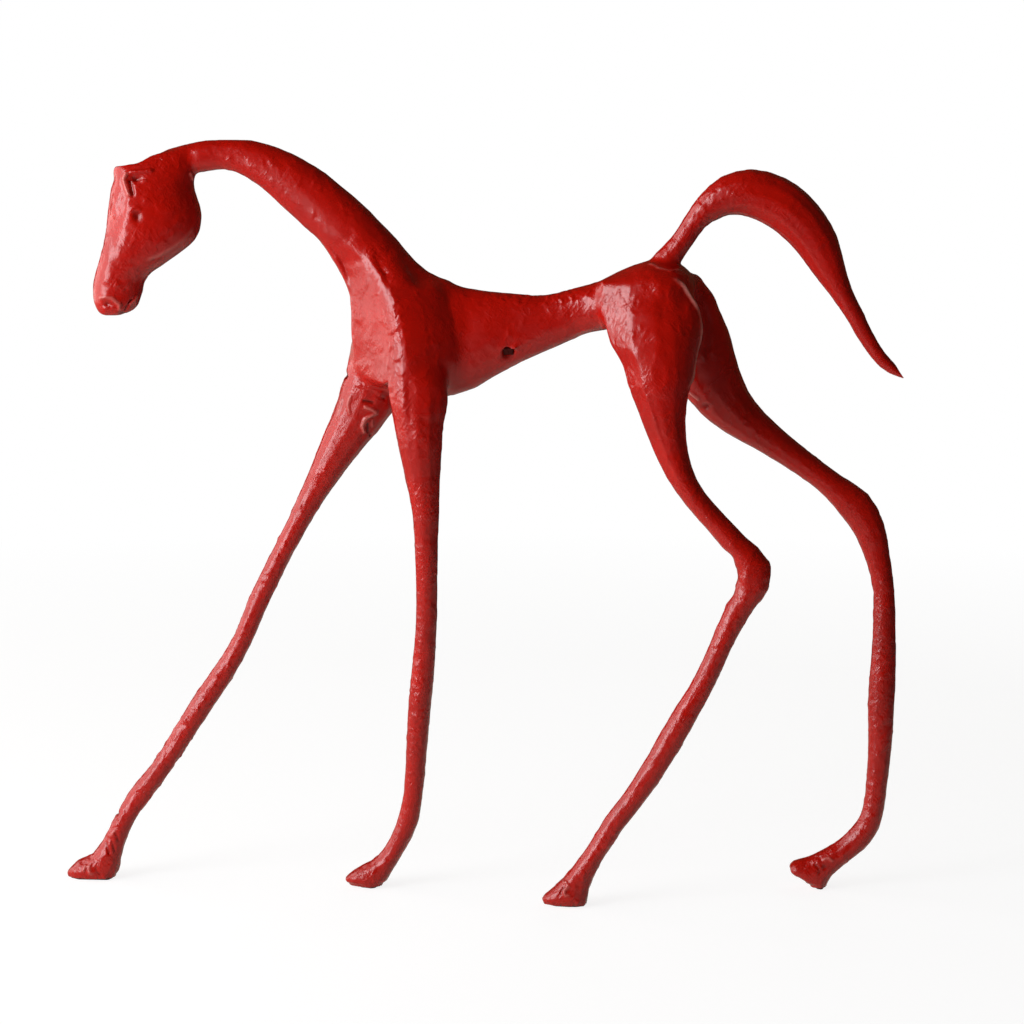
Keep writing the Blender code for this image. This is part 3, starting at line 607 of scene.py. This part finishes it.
bead(
    [(-154.7, -12, 307.5), (-147, -12, 311), (-139, -10, 316.4), (-132.5, -6, 323.6)],
    width=1.6, height=0.4, wear_and_painted_light=0.3,
)
bead([(-134.6, -7, 349.4), (-133.6, -5.5, 346), (-131.4, -4, 342)], width=1.3, height=0.8, wear_and_painted_light=0.45)

# The joint of the far front leg: a seam, a notch in its outline and rough putty round it
# Its seam, notch and grooves are darker as painted shade, and the ridges of its putty paler, for wear and a
# painted highlight
bead(
    [(-62.5, 4, 252.4), (-57, -0.4, 249.4), (-49, -1.4, 245), (-42, 3, 240.5)],
    width=1.4, height=-0.9, wear_and_painted_light=-0.5, start=0.02, end=0.05,
)
bump((-63, 5, 252), (2.2, 8, 2.0), height=-1.8, wear_and_painted_light=-1.2)
bead([(-56.2, -1, 248.2), (-49.5, -1.4, 246.8), (-43.5, 2, 243.6)], width=1.5, height=0.7)
bead([(-53.4, -1.3, 240.4), (-50.6, -0.8, 240), (-47.6, 0.4, 239.2)], width=1.0, height=-0.9, wear_and_painted_light=-0.9)
bead([(-53, -1, 237.6), (-49, -0.6, 236.2), (-46.4, 0.6, 234.4)], width=1.1, height=1.0, wear_and_painted_light=0.6)
bead(
    [(-46, 1, 234.2), (-49, 0, 233.4), (-52.4, -0.6, 231.6), (-53.8, -0.4, 227.8), (-52.8, 0.6, 224)],
    width=1.2, height=1.1, wear_and_painted_light=0.6,
)
bead([(-51, 0.4, 229.6), (-51.6, 1.4, 226), (-50.4, 2.5, 222)], width=1.0, height=-1.0, wear_and_painted_light=-1.0)
bead([(-49, 2, 231.5), (-49.4, 3, 227)], width=0.9, height=0.6, wear_and_painted_light=0.3)
bead([(-59, 2, 243), (-60.6, 3, 238), (-59.6, 4, 233)], width=1.2, height=0.6, wear_and_painted_light=0.3)
bead([(-63.5, 4, 241), (-65, 5, 236), (-66.5, 6, 231)], width=1.2, height=0.6, wear_and_painted_light=0.3)

# The belly: a dent round its plug, darker as painted shade
bump((17.4, -8.5, 262.6), (3.4, 5, 2.4), height=-0.9, facing=(0, -1, -0.5), wear_and_painted_light=-0.7)

# The lip where the far thigh meets the near one, paler for wear and a painted highlight, with painted shade
# in the hollow under it
bead([(101, 12, 246), (104, 11.4, 244.2), (108, 11, 241)], width=1.5, height=1.1, wear_and_painted_light=0.6)
bump((111, 11.5, 237.5), (3, 6, 2.4), height=-1.4, wear_and_painted_light=-0.5)

# Creases and kinks of the hind legs
shift((123, -22, 170), (5, 9, 6), move=(1.2, 0, 0.7))
shift((125.5, -22, 151), (4, 9, 6), move=(1.3, 0, -0.3))
shift((144, -22, 166), (5, 9, 7), move=(0.9, 0, 0.2))
bump((131, -26, 161), (4, 5, 8), height=0.9, facing=(-0.5, -1, 0))
bump((103, -20, 207), (3, 8, 2), height=-0.9)
bump((105, -20, 199.5), (2.6, 8, 2), height=0.7)
# Grooves and dents on the legs, darker as painted shade
bead([(190.4, 19, 149), (189.6, 18.5, 136), (189.4, 18.5, 122)], width=1.2, height=-1.1, wear_and_painted_light=-1.0)
bump((119, -22, 90), (2.2, 6, 2.0), height=-0.9, wear_and_painted_light=-0.5)
bump((-178.5, 6.8, 33.7), (2.2, 6, 1.6), height=-1.0, wear_and_painted_light=-0.7)

# The hooves: folds and scratches, and sharper toes; the folds paler, for wear and a painted highlight, and
# the scratches and dents darker, as painted shade
bead(
    [(-194.4, 0.3, 4.4), (-193.6, 0.3, 7.6), (-191.4, 0.2, 7.4), (-191.2, 0.2, 4.6), (-189, 0.2, 3.4)],
    width=1.0, height=0.8, wear_and_painted_light=0.3,
)
bead([(-188.4, 0, 7.4), (-187.4, 0, 4.4), (-185.4, 0.4, 3)], width=1.0, height=-0.8, wear_and_painted_light=-0.4)
bead([(-183.6, 1.9, 19.6), (-182.4, 1.8, 16.6), (-181.4, 1.3, 13.4)], width=0.9, height=-0.8, wear_and_painted_light=-0.5)
bead([(-180.4, 1.6, 20.6), (-179.4, 1.8, 17.2), (-178.9, 1.8, 14.2)], width=0.9, height=-0.7, wear_and_painted_light=-0.4)
bead([(-178.6, 2.1, 24.8), (-177.6, 2.1, 22.2), (-177, 2.1, 19.6)], width=0.9, height=-0.7, wear_and_painted_light=-0.4)
bead([(-181.8, 1.6, 22), (-180.2, 1.8, 23.4), (-178.4, 2, 26.4)], width=0.9, height=0.6, wear_and_painted_light=0.3)
bead(
    [
        (44.4, -25.8, 11.6), (46.9, -26.6, 12.6), (48.4, -28, 10.8), (46, -28.1, 8.8), (46.6, -28.6, 6.6),
        (49.2, -28.8, 6.8),
    ],
    width=1.0, height=0.8, wear_and_painted_light=0.35,
)
bead([(46.6, -28, 10.6), (44.6, -28, 8.6), (44.4, -28, 6.4)], width=0.9, height=-0.7, wear_and_painted_light=-0.4)
bead([(165.6, 14, 13.6), (167.8, 13.8, 11.4), (168.6, 13.8, 8.4)], width=1.2, height=-0.6, wear_and_painted_light=-0.5)
bump((171, 14, 12.4), (2.4, 5, 2.0), height=-0.7, wear_and_painted_light=-0.5)
bead([(169.4, 14, 15.4), (172.4, 14, 16.6), (175, 14, 14.8)], width=1.0, height=0.6, wear_and_painted_light=0.4)
shift((-193, 6, 3), (6, 9, 5), move=(-1.6, 0, -1.0))
shift((-172, 6, 8), (3, 9, 5), move=(-0.8, 0, -0.6))


def roughen():
    """The uneven surface of hand worked clay, coarser towards the hooves."""
    amount = np.zeros(skin.count)
    low = ease((LOW_FROM - skin.at[:, 2]) / LOW_RUN)
    for k, place in enumerate(skin.at):
        spot = Vector(place)
        for size, height, gain, offset in LUMPS:
            amount[k] += (height + gain * low[k]) * noise.noise(spot / size + Vector(offset))
    skin.push(amount)


def tree_of(points, scale=1.0):
    """A search tree of points."""
    tree = KDTree(len(points))
    for index, place in enumerate(points):
        tree.insert(place * scale, index)
    tree.balance()
    return tree


def around(middle, radii):
    """The vertices of the near side in an egg shaped region."""
    inside = (((skin.at - middle) / radii) ** 2).sum(1) < 1
    return np.flatnonzero(inside & (skin.way[:, 1] < NEAR_FACING))


def strokes(tree, seed, count, lengths, width, heights, lean, among=None):
    """Short raised marks of a brush or modelling tool, scattered over the skin."""
    random = np.random.default_rng(seed)
    amount = np.zeros(skin.count)
    chosen = random.integers(0, skin.count if among is None else len(among), count)
    for k in chosen if among is None else among[chosen]:
        length = random.uniform(*lengths)
        height = random.uniform(*heights)
        angle = random.normal(0, lean)
        along = np.array([sin(angle), 0, cos(angle)])
        near = np.array([index for _, index, _ in tree.find_range(skin.at[k], length * STROKE_REACH)])
        offset = skin.at[near] - skin.at[k]
        way = along - skin.way[k] * (along @ skin.way[k])
        way /= max(np.linalg.norm(way), SHORTEST_WAY)
        across = np.cross(way, skin.way[k])
        amount[near] += height * np.exp(-((offset @ way) / length) ** 2 - ((offset @ across) / width) ** 2)
    skin.push(np.clip(amount, -MARK_LIMIT, MARK_LIMIT))


roughen()
clay_tree = tree_of(skin.at)
strokes(clay_tree, seed=3, count=3000, lengths=(1.4, 3.2), width=0.8, heights=(0.04, 0.18), lean=0.8)
strokes(clay_tree, seed=4, count=700, lengths=(0.7, 1.0), width=0.7, heights=(-0.26, -0.08), lean=1.5)

# Where the brush worked longest, as middle, reach, number of strokes and how much they lean
BRUSHED = [
    ((-100, 4, 150), (40, 10, 60), 160, 0.9),
    ((-160, 4, 50), (32, 10, 40), 160, 0.9),
    ((-186, 4, 8), (14, 10, 12), 40, 1.2),
    ((-33, -16, 80), (12, 12, 70), 90, 0.8),
    ((-50, -6, 8), (20, 14, 14), 40, 1.2),
    ((60, -26, 20), (26, 9, 24), 70, 1.2),
    ((168, 16, 16), (18, 9, 18), 60, 1.2),
    ((-45, -14, 303), (6, 9, 12), 50, 0.7),
    ((-34, -23, 264), (3.5, 9, 28), 60, 1.3),
    ((66, -18, 286), (12, 12, 13), 50, 0.5),
    ((32, -8, 294), (26, 9, 7), 110, 0.5),
    ((72, -24, 262), (8, 9, 22), 24, 0.6),
    ((112, -6, 332), (12, 10, 16), 60, 0.8),
    ((-172, -12, 320), (8, 9, 30), 50, 0.5),
    ((-28, -18, 165), (8, 9, 40), 40, 0.8),
    ((-140, 4, 80), (45, 10, 45), 120, 0.9),
    ((120, -22, 100), (40, 9, 70), 110, 0.9),
    ((185, 18, 100), (14, 9, 75), 90, 0.9),
]
RAISED_SEED = 10
PIT_SEED = 40
for number, (middle, radii, count, lean) in enumerate(BRUSHED):
    spots = around(middle, radii)
    strokes(
        clay_tree, seed=RAISED_SEED + number, count=count, lengths=(0.9, 2.4), width=0.6,
        heights=(0.06, 0.24), lean=lean, among=spots,
    )
    strokes(
        clay_tree, seed=PIT_SEED + number, count=count // 2, lengths=(0.6, 0.9), width=0.6,
        heights=(-0.3, -0.1), lean=1.5, among=spots,
    )

smooth((-50, -8, 284), (12, 13, 26), passes=4)


def settle():
    """Flat soles on their pads, and all of it inside the CAD model's box."""
    sole = (skin.at[:, 2] < SOLE_LEVEL + SOLE_BAND) & (skin.way[:, 2] < SOLE_FACING)
    skin.at[sole, 2] = SOLE_LEVEL
    low, high = (np.array(corner) / MM for corner in cad_box)
    skin.at = np.clip(skin.at, low + BOX_SLACK, high - BOX_SLACK)
    skin.at[:, 2] = np.maximum(skin.at[:, 2], SOLE_LEVEL)
    skin.refresh()


settle()
skin.mesh.vertices.foreach_set("co", (skin.at * MM).astype(np.float32).ravel())
skin.mesh.update()


# Cutting the skin into its castings and putty beds


def slab(joint):
    """The corners of a flat box that holds a joint's putty bed."""
    place, way = (np.array(v, float) for v in JOINTS[joint])
    way /= np.linalg.norm(way)
    side = np.array([0.0, 1.0, 0.0])
    across = np.cross(side, way)
    bed = places(frame["nodes"][joint + "_putty"].data) - place
    spans = []
    for axis in (across, side):
        reach = bed @ axis
        spans.append((reach.min() - SLAB_MARGIN, reach.max() + SLAB_MARGIN))
    ends = (-PUTTY_THICKNESS / 2, PUTTY_THICKNESS / 2)
    return [place + u * across + v * side + w * way for w in ends for v in spans[1] for u in spans[0]]


def slabs():
    """The flat boxes of all the joints in one mesh."""
    bm = bmesh.new()
    for joint in JOINTS:
        corners = [bm.verts.new(Vector(corner) * MM) for corner in slab(joint)]
        bmesh.ops.convex_hull(bm, input=corners)
    mesh = bpy.data.meshes.new("slabs")
    bm.to_mesh(mesh)
    bm.free()
    return mesh


def combined(mesh, cutters, operation):
    """A mesh cut by, or kept inside, each of the cutters."""
    obj = link("combined", mesh)
    for cutter in cutters:
        modifier = obj.modifiers.new(cutter.name, "BOOLEAN")
        modifier.object = cutter
        modifier.operation = operation
        modifier.solver = "MANIFOLD"
    result = evaluated(obj)
    bpy.data.objects.remove(obj, do_unlink=True)
    return result


def islands_of(mesh):
    """Each separate closed piece of a mesh, as a mesh of its own."""
    bm = bmesh.new()
    bm.from_mesh(mesh)
    bm.faces.ensure_lookup_table()
    mark = bm.faces.layers.int.new("island")
    count = 0
    for start in bm.faces:
        if start[mark]:
            continue
        count += 1
        start[mark] = count
        edge = [start]
        while edge:
            reached = {f for face in edge for e in face.edges for f in e.link_faces if not f[mark]}
            for face in reached:
                face[mark] = count
            edge = list(reached)
    found = []
    for k in range(1, count + 1):
        part = bm.copy()
        layer = part.faces.layers.int["island"]
        bmesh.ops.delete(part, geom=[f for f in part.faces if f[layer] != k], context="FACES")
        piece = bpy.data.meshes.new("piece")
        part.to_mesh(piece)
        part.free()
        piece.attributes.remove(piece.attributes["island"])
        found.append(piece)
    bm.free()
    return found


def nearest_node(mesh, names):
    """The CAD node whose box is most like a mesh's own."""
    at = places(mesh)
    corners = np.array([at.min(0), at.max(0)])

    def apart(name):
        return np.abs(np.array(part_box(name)) / MM - corners).sum()

    return min(names, key=apart)


bore_cutter = link("bores", swollen(WIRES, BORE_SLACK))
slab_cutter = link("slabs", slabs())
bored = combined(skin.mesh, [bore_cutter], "DIFFERENCE")
cast_meshes = islands_of(combined(bored, [slab_cutter], "DIFFERENCE"))
bed_meshes = islands_of(combined(bored, [slab_cutter], "INTERSECT"))
if len(cast_meshes) != len(CASTINGS) or len(bed_meshes) != len(PUTTIES):
    raise RuntimeError(f"{len(cast_meshes)} castings and {len(bed_meshes)} beds came out of the skin")
for cutter in (bore_cutter, slab_cutter):
    drop(cutter)

skin_tree = tree_of(skin.at, MM)


def dress(mesh, name, material):
    """Makes a piece of the skin: round where it is skin, and flat where it is cut."""
    obj = link(name + "_skin", mesh)
    mesh.materials.clear()
    mesh.materials.append(material)
    nearest = np.empty(len(mesh.vertices), np.int64)
    apart = np.empty(len(mesh.vertices))
    for k, vertex in enumerate(mesh.vertices):
        _, nearest[k], apart[k] = skin_tree.find(vertex.co)
    on_skin = apart < GRAIN * MM * ON_SKIN
    corners = np.empty(len(mesh.loops), np.int32)
    mesh.loops.foreach_get("vertex_index", corners)
    starts = np.empty(len(mesh.polygons), np.int32)
    mesh.polygons.foreach_get("loop_start", starts)
    totals = np.empty(len(mesh.polygons), np.int32)
    mesh.polygons.foreach_get("loop_total", totals)
    flat = np.empty(3 * len(mesh.polygons), np.float32)
    mesh.polygons.foreach_get("normal", flat)
    flat = flat.reshape(-1, 3)
    owner = np.repeat(np.arange(len(mesh.polygons)), totals)
    normals = skin.way[nearest][corners]
    agree = (normals * flat[owner]).sum(1) > ALIKE
    agree &= on_skin[corners]
    whole = np.bincount(owner, agree, len(mesh.polygons)) > totals - 0.5
    inner = ~whole[owner]
    normals[inner] = flat[owner][inner]
    mesh.polygons.foreach_set("use_smooth", np.ones(len(mesh.polygons), bool))
    mesh.normals_split_custom_set(normals.tolist())
    # The paint's wear and painted light at each vertex: paler on raised lines, painted shade in grooves and
    # hollows
    shade = mesh.attributes.new("wear_and_painted_light", "FLOAT", "POINT")
    shade.data.foreach_set("value", (np.clip(skin.wear_and_painted_light, -1, 1)[nearest] * on_skin).astype(np.float32))
    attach(obj, "root")
    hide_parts(name)


# Materials

# The sockets of a colour mix
MIX_FACTOR, MIX_A, MIX_B = 0, 6, 7
MIX_COLOUR = 2

# How many of each mark fit in a metre, and how much longer than wide they are
PATCHES = 45
COVERED = 70
STROKES = 700
GRIT = 1500
STROKE_STRETCH = 4.5
DRAWN_LINES = 4000
DRAWN_STRETCH = 12.0
BLOOM = 300
RUBBER_GRAIN = 2500
DUST = 350

# Relief in metres, and the roughness between its least and its most
WIRE_RELIEF = 0.00002
RUBBER_RELIEF = 0.00008
WIRE_ROUGH = (0.22, 0.42)
RUBBER_ROUGH = (0.6, 0.85)
WIRE_DULL = 0.7
DUST_PALE = 0.03

# The parts of a noise's range that turn one look into another
MIDDLE = (0.3, 0.7)
DARK_PATCHES = (0.35, 0.7)
BLOOMED = (0.4, 0.7)
DUSTY = (0.45, 0.75)

# Paint: how much patches gain and lose in gloss, the fewest strokes, the finer relief's share, and the
# depth of painted shade in a crease at which it has no varnish left
GLOSSIER = 0.04
DULLER = 0.06
FEWEST_STROKES = 0.15
FINER = 6
BARE_TINT = -0.8


def nodes_of(name):
    """A new material and its empty tree of nodes."""
    material = bpy.data.materials.new(name)
    material.use_nodes = True
    tree = material.node_tree
    tree.nodes.clear()
    return material, tree


def add(tree, kind, inputs=None, **settings):
    """A node, with each input linked to a socket or set to a value."""
    node = tree.nodes.new(kind)
    for key, value in settings.items():
        setattr(node, key, value)
    for key, value in (inputs or {}).items():
        socket = node.inputs[key]
        if isinstance(value, bpy.types.NodeSocket):
            tree.links.new(value, socket)
        else:
            socket.default_value = value
    return node


def noise_of(tree, where, scale, detail, roughness=0.5, distortion=0.0):
    """Cloudy noise between 0 and 1."""
    inputs = {"Vector": where, "Scale": scale, "Detail": detail}
    inputs.update({"Roughness": roughness, "Distortion": distortion})
    return add(tree, "ShaderNodeTexNoise", inputs).outputs["Fac"]


def ramp(tree, value, low, high, start=0.0, end=1.0):
    """Low where the value is at its start, high where it is at its end, and even between."""
    inputs = {"Value": value, "From Min": start, "From Max": end, "To Min": low, "To Max": high}
    return add(tree, "ShaderNodeMapRange", inputs).outputs["Result"]


def mixed(tree, factor, a, b):
    """A colour between two others."""
    node = add(tree, "ShaderNodeMix", data_type="RGBA")
    for key, value in ((MIX_FACTOR, factor), (MIX_A, a), (MIX_B, b)):
        if isinstance(value, bpy.types.NodeSocket):
            tree.links.new(value, node.inputs[key])
        else:
            node.inputs[key].default_value = value if key == MIX_FACTOR else (*value, 1.0)
    return node.outputs[MIX_COLOUR]


def paint(name, colour, dark, shine, coat, relief, cover, haze, gloss):
    """Brushed gloss paint: strokes in patches, paler on edges for wear and a painted highlight, and darker
    in creases as painted shade.
    """
    material, tree = nodes_of(name)
    where = add(tree, "ShaderNodeTexCoord").outputs["Object"]
    wear_and_painted_light = add(tree, "ShaderNodeAttribute", attribute_name="wear_and_painted_light").outputs["Fac"]
    patches = noise_of(tree, where, PATCHES, detail=4.0)
    spread = ramp(tree, noise_of(tree, where, COVERED, detail=2.0), FEWEST_STROKES, 1.0, *cover)
    strokes = []
    for lean in BRUSH_LEANS:
        inputs = {"Vector": where, "Rotation": (0.0, lean, 0.0), "Scale": (1.0, 1.0, STROKE_STRETCH)}
        leaning = add(tree, "ShaderNodeMapping", inputs, vector_type="TEXTURE").outputs[0]
        strokes.append(noise_of(tree, leaning, STROKES, detail=1.5, distortion=0.4))
    marks = add(tree, "ShaderNodeMath", {0: strokes[0], 1: strokes[1]}, operation="MAXIMUM").outputs[0]
    marks = add(tree, "ShaderNodeMath", {0: marks, 1: spread}, operation="MULTIPLY").outputs[0]
    grit = noise_of(tree, where, GRIT, detail=2.0)
    base = mixed(tree, ramp(tree, patches, 0.0, 1.0, *DARK_PATCHES), colour, dark)
    # Paler on raised lines, for wear and a painted highlight, and darker in grooves and hollows as painted
    # shade
    base = mixed(tree, ramp(tree, wear_and_painted_light, 0.0, 1.0), base, WORN_PALE_AND_HIGHLIGHT)
    base = mixed(tree, ramp(tree, wear_and_painted_light, 0.0, 1.0, 0.0, -1.0), base, CREASE_SHADE)
    rough = ramp(tree, patches, shine - GLOSSIER, shine + DULLER, *MIDDLE)
    lumps = add(tree, "ShaderNodeBump", {"Strength": 1.0, "Distance": relief, "Height": marks})
    inputs = {"Strength": 1.0, "Distance": relief / FINER, "Height": grit, "Normal": lumps.outputs[0]}
    fine = add(tree, "ShaderNodeBump", inputs)
    inputs = {"Base Color": base, "Roughness": rough, "Normal": fine.outputs[0]}
    coating = ramp(tree, wear_and_painted_light, coat, 0.0, 0.0, BARE_TINT) if coat else 0.0
    inputs.update({"Coat Weight": coating, "Coat Roughness": haze, "Coat Normal": fine.outputs[0]})
    inputs["Specular IOR Level"] = gloss
    shader = add(tree, "ShaderNodeBsdfPrincipled", inputs)
    add(tree, "ShaderNodeOutputMaterial", {"Surface": shader.outputs[0]})
    return material


def metal(name, colour):
    """Drawn steel wire, with fine lines."""
    material, tree = nodes_of(name)
    where = add(tree, "ShaderNodeTexCoord").outputs["Object"]
    inputs = {"Vector": where, "Scale": (1.0, 1.0, DRAWN_STRETCH)}
    drawn = add(tree, "ShaderNodeMapping", inputs, vector_type="TEXTURE").outputs[0]
    lines = noise_of(tree, drawn, DRAWN_LINES, detail=3.0)
    bloom = noise_of(tree, where, BLOOM, detail=3.0)
    dull = tuple(WIRE_DULL * share for share in colour)
    base = mixed(tree, ramp(tree, bloom, 0.0, 1.0, *BLOOMED), colour, dull)
    rough = ramp(tree, lines, *WIRE_ROUGH, *MIDDLE)
    lumps = add(tree, "ShaderNodeBump", {"Strength": 1.0, "Distance": WIRE_RELIEF, "Height": lines})
    inputs = {"Base Color": base, "Roughness": rough, "Normal": lumps.outputs[0], "Metallic": 1.0}
    shader = add(tree, "ShaderNodeBsdfPrincipled", inputs)
    add(tree, "ShaderNodeOutputMaterial", {"Surface": shader.outputs[0]})
    return material


def rubber(name, colour):
    """Thin sheet rubber, dusty and faintly grained."""
    material, tree = nodes_of(name)
    where = add(tree, "ShaderNodeTexCoord").outputs["Object"]
    grain = noise_of(tree, where, RUBBER_GRAIN, detail=4.0, roughness=0.7)
    dust = noise_of(tree, where, DUST, detail=3.0)
    dusty = tuple(share + DUST_PALE for share in colour)
    base = mixed(tree, ramp(tree, dust, 0.0, 1.0, *DUSTY), colour, dusty)
    rough = ramp(tree, grain, *RUBBER_ROUGH, *MIDDLE)
    lumps = add(tree, "ShaderNodeBump", {"Strength": 1.0, "Distance": RUBBER_RELIEF, "Height": grain})
    inputs = {"Base Color": base, "Roughness": rough, "Normal": lumps.outputs[0]}
    shader = add(tree, "ShaderNodeBsdfPrincipled", inputs)
    add(tree, "ShaderNodeOutputMaterial", {"Surface": shader.outputs[0]})
    return material


def clad(names, material):
    """Gives the CAD's own solids with these names a better material."""
    for name in names:
        for place in frame["nodes"][name].material_slots:
            place.material = material


PAINTS = {
    "red_paint": dict(
        colour=(0.50, 0.004, 0.0008), dark=(0.43, 0.003, 0.0005),
        shine=0.25, coat=0.5, relief=0.0004, cover=(0.46, 0.6), haze=0.17, gloss=0.4,
    ),
    "leg_paint": dict(
        colour=(0.50, 0.005, 0.0015), dark=(0.42, 0.004, 0.0008),
        shine=0.26, coat=0.45, relief=0.00045, cover=(0.4, 0.56), haze=0.18, gloss=0.4,
    ),
    "painted_putty": dict(
        colour=(0.50, 0.005, 0.001), dark=(0.43, 0.003, 0.0006),
        shine=0.26, coat=0.45, relief=0.0004, cover=(0.42, 0.58), haze=0.17, gloss=0.4,
    ),
    "plug_putty": dict(
        colour=(0.07, 0.005, 0.003), dark=(0.03, 0.002, 0.0015),
        shine=0.5, coat=0.0, relief=0.0003, cover=(0.42, 0.58), haze=0.3, gloss=0.12,
    ),
}
MATERIALS = {name: paint(name, **row) for name, row in PAINTS.items()}
clad(WIRES, metal("drawn_steel", (0.55, 0.55, 0.56)))
clad(PADS, rubber("sheet_rubber", (0.02, 0.018, 0.018)))
for mesh in cast_meshes:
    node = nearest_node(mesh, CASTINGS)
    dress(mesh, node, MATERIALS[CASTINGS[node]])
for mesh in bed_meshes:
    node = nearest_node(mesh, PUTTIES)
    dress(mesh, node, MATERIALS["painted_putty"])


# The plug in the belly


def plug():
    """A dab of dark putty, uneven and a little sunk."""
    rough = link("plug", swollen(["belly_plug"], 0.0))
    remesh = rough.modifiers.new("clay", "REMESH")
    remesh.mode = "VOXEL"
    remesh.voxel_size = PLUG_GRAIN * MM
    mesh = evaluated(rough)
    drop(rough)
    dab = Skin(mesh)
    dab.relax(PLUG_PASSES, SMOOTHING_IN, SMOOTHING_OUT)
    uneven = [noise.noise(Vector(place) / PLUG_LUMP) for place in dab.at]
    dab.push(np.array([PLUG_RELIEF * rise - PLUG_RELIEF / 2 for rise in uneven]))
    low, high = (np.array(corner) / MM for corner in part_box("belly_plug"))
    mesh.vertices.foreach_set("co", (np.clip(dab.at, low, high) * MM).astype(np.float32).ravel())
    mesh.update()
    mesh.materials.append(MATERIALS["plug_putty"])
    mesh.shade_smooth()
    obj = link("belly_plug_skin", mesh)
    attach(obj, "root")
    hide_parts("belly_plug")


plug()


# The studio


def camera():
    """Looks at the near side, a little from the tail and from above."""
    data = bpy.data.cameras.new("camera")
    data.lens = LENS
    data.sensor_width = SENSOR
    obj = link("camera", data)
    turn, rise = radians(CAMERA_TURN), radians(CAMERA_RISE)
    back = Vector((sin(turn) * cos(rise), -cos(turn) * cos(rise), sin(rise)))
    obj.location = Vector(CAMERA_AIM) + back * CAMERA_DISTANCE
    obj.rotation_euler = back.to_track_quat("Z", "Y").to_euler()
    bpy.context.scene.camera = obj


def area_light(name, place, size, power, colour, glossy):
    """A soft lamp aimed at the horse."""
    data = bpy.data.lights.new(name, "AREA")
    data.shape = "RECTANGLE"
    data.size, data.size_y = size
    data.energy = power
    data.color = colour
    obj = link(name, data)
    obj.location = place
    obj.rotation_euler = (Vector(place) - Vector(LIGHT_AIM)).to_track_quat("Z", "Y").to_euler()
    obj.visible_glossy = glossy
    obj.visible_camera = False


def studio_floor():
    """A floor with the horse's soft shadow, white to the camera, and in the paint a dimmer, warmer glow as a
    painted reflection.
    """
    bm = bmesh.new()
    bmesh.ops.create_grid(bm, x_segments=FLOOR_SQUARES, y_segments=FLOOR_SQUARES, size=FLOOR_HALF)
    mesh = bpy.data.meshes.new("floor")
    bm.to_mesh(mesh)
    bm.free()
    obj = link("floor", mesh)
    material, tree = nodes_of("white_floor")
    path = add(tree, "ShaderNodeLightPath").outputs
    where = add(tree, "ShaderNodeTexCoord").outputs["Object"]
    away = add(tree, "ShaderNodeVectorMath", {0: where}, operation="LENGTH").outputs["Value"]
    near = ramp(tree, away, 1.0, 0.0, FLOOR_NEAR, FLOOR_FAR)
    lit = add(tree, "ShaderNodeBsdfDiffuse", {"Color": FLOOR_COLOUR}).outputs[0]
    shaded = add(tree, "ShaderNodeBsdfDiffuse", {"Color": SHADOW_COLOUR}).outputs[0]
    white = add(tree, "ShaderNodeEmission", {"Strength": 1.0}).outputs[0]
    most = add(tree, "ShaderNodeEmission", {"Strength": FLOOR_WHITE}).outputs[0]
    seen_near = add(tree, "ShaderNodeAddShader", {0: shaded, 1: most}).outputs[0]
    seen = add(tree, "ShaderNodeMixShader", {0: near, 1: white, 2: seen_near}).outputs[0]
    tailward = add(tree, "ShaderNodeSeparateXYZ", {0: where}).outputs["X"]
    # A glow seen only in reflections, a painted reflection, strongest under the horse and far ahead of its
    # head
    far = ramp(tree, tailward, PAINTED_REFLECTION_AHEAD, PAINTED_REFLECTION_FAR, AHEAD_FROM, AHEAD_TO)
    strength = ramp(tree, away, PAINTED_REFLECTION, far, REFLECTED_FROM, REFLECTED_TO)
    inputs = {"Color": PAINTED_REFLECTION_COLOUR, "Strength": strength}
    painted_reflection = add(tree, "ShaderNodeEmission", inputs).outputs[0]
    shown = add(tree, "ShaderNodeMixShader", {0: path["Is Glossy Ray"], 1: lit, 2: painted_reflection}).outputs[0]
    shown = add(tree, "ShaderNodeMixShader", {0: path["Is Transmission Ray"], 1: shown, 2: white}).outputs[0]
    shown = add(tree, "ShaderNodeMixShader", {0: path["Is Camera Ray"], 1: shown, 2: seen}).outputs[0]
    add(tree, "ShaderNodeOutputMaterial", {"Surface": shown})
    mesh.materials.append(material)


def surroundings():
    """A white backdrop to the camera, and a dim warm room to the horse."""
    world = bpy.data.worlds.new("studio")
    bpy.context.scene.world = world
    world.use_nodes = True
    tree = world.node_tree
    tree.nodes.clear()
    path = add(tree, "ShaderNodeLightPath").outputs
    strength = ramp(tree, path["Is Camera Ray"], ROOM_LIGHT, 1.0)
    colour = mixed(tree, path["Is Camera Ray"], ROOM_COLOUR, (1.0, 1.0, 1.0))
    glow = add(tree, "ShaderNodeBackground", {"Color": colour, "Strength": strength}).outputs[0]
    add(tree, "ShaderNodeOutputWorld", {"Surface": glow})


camera()
for name, row in LIGHTS.items():
    area_light(name, *row)
studio_floor()
surroundings()
bpy.context.scene.view_settings.view_transform = "Standard"
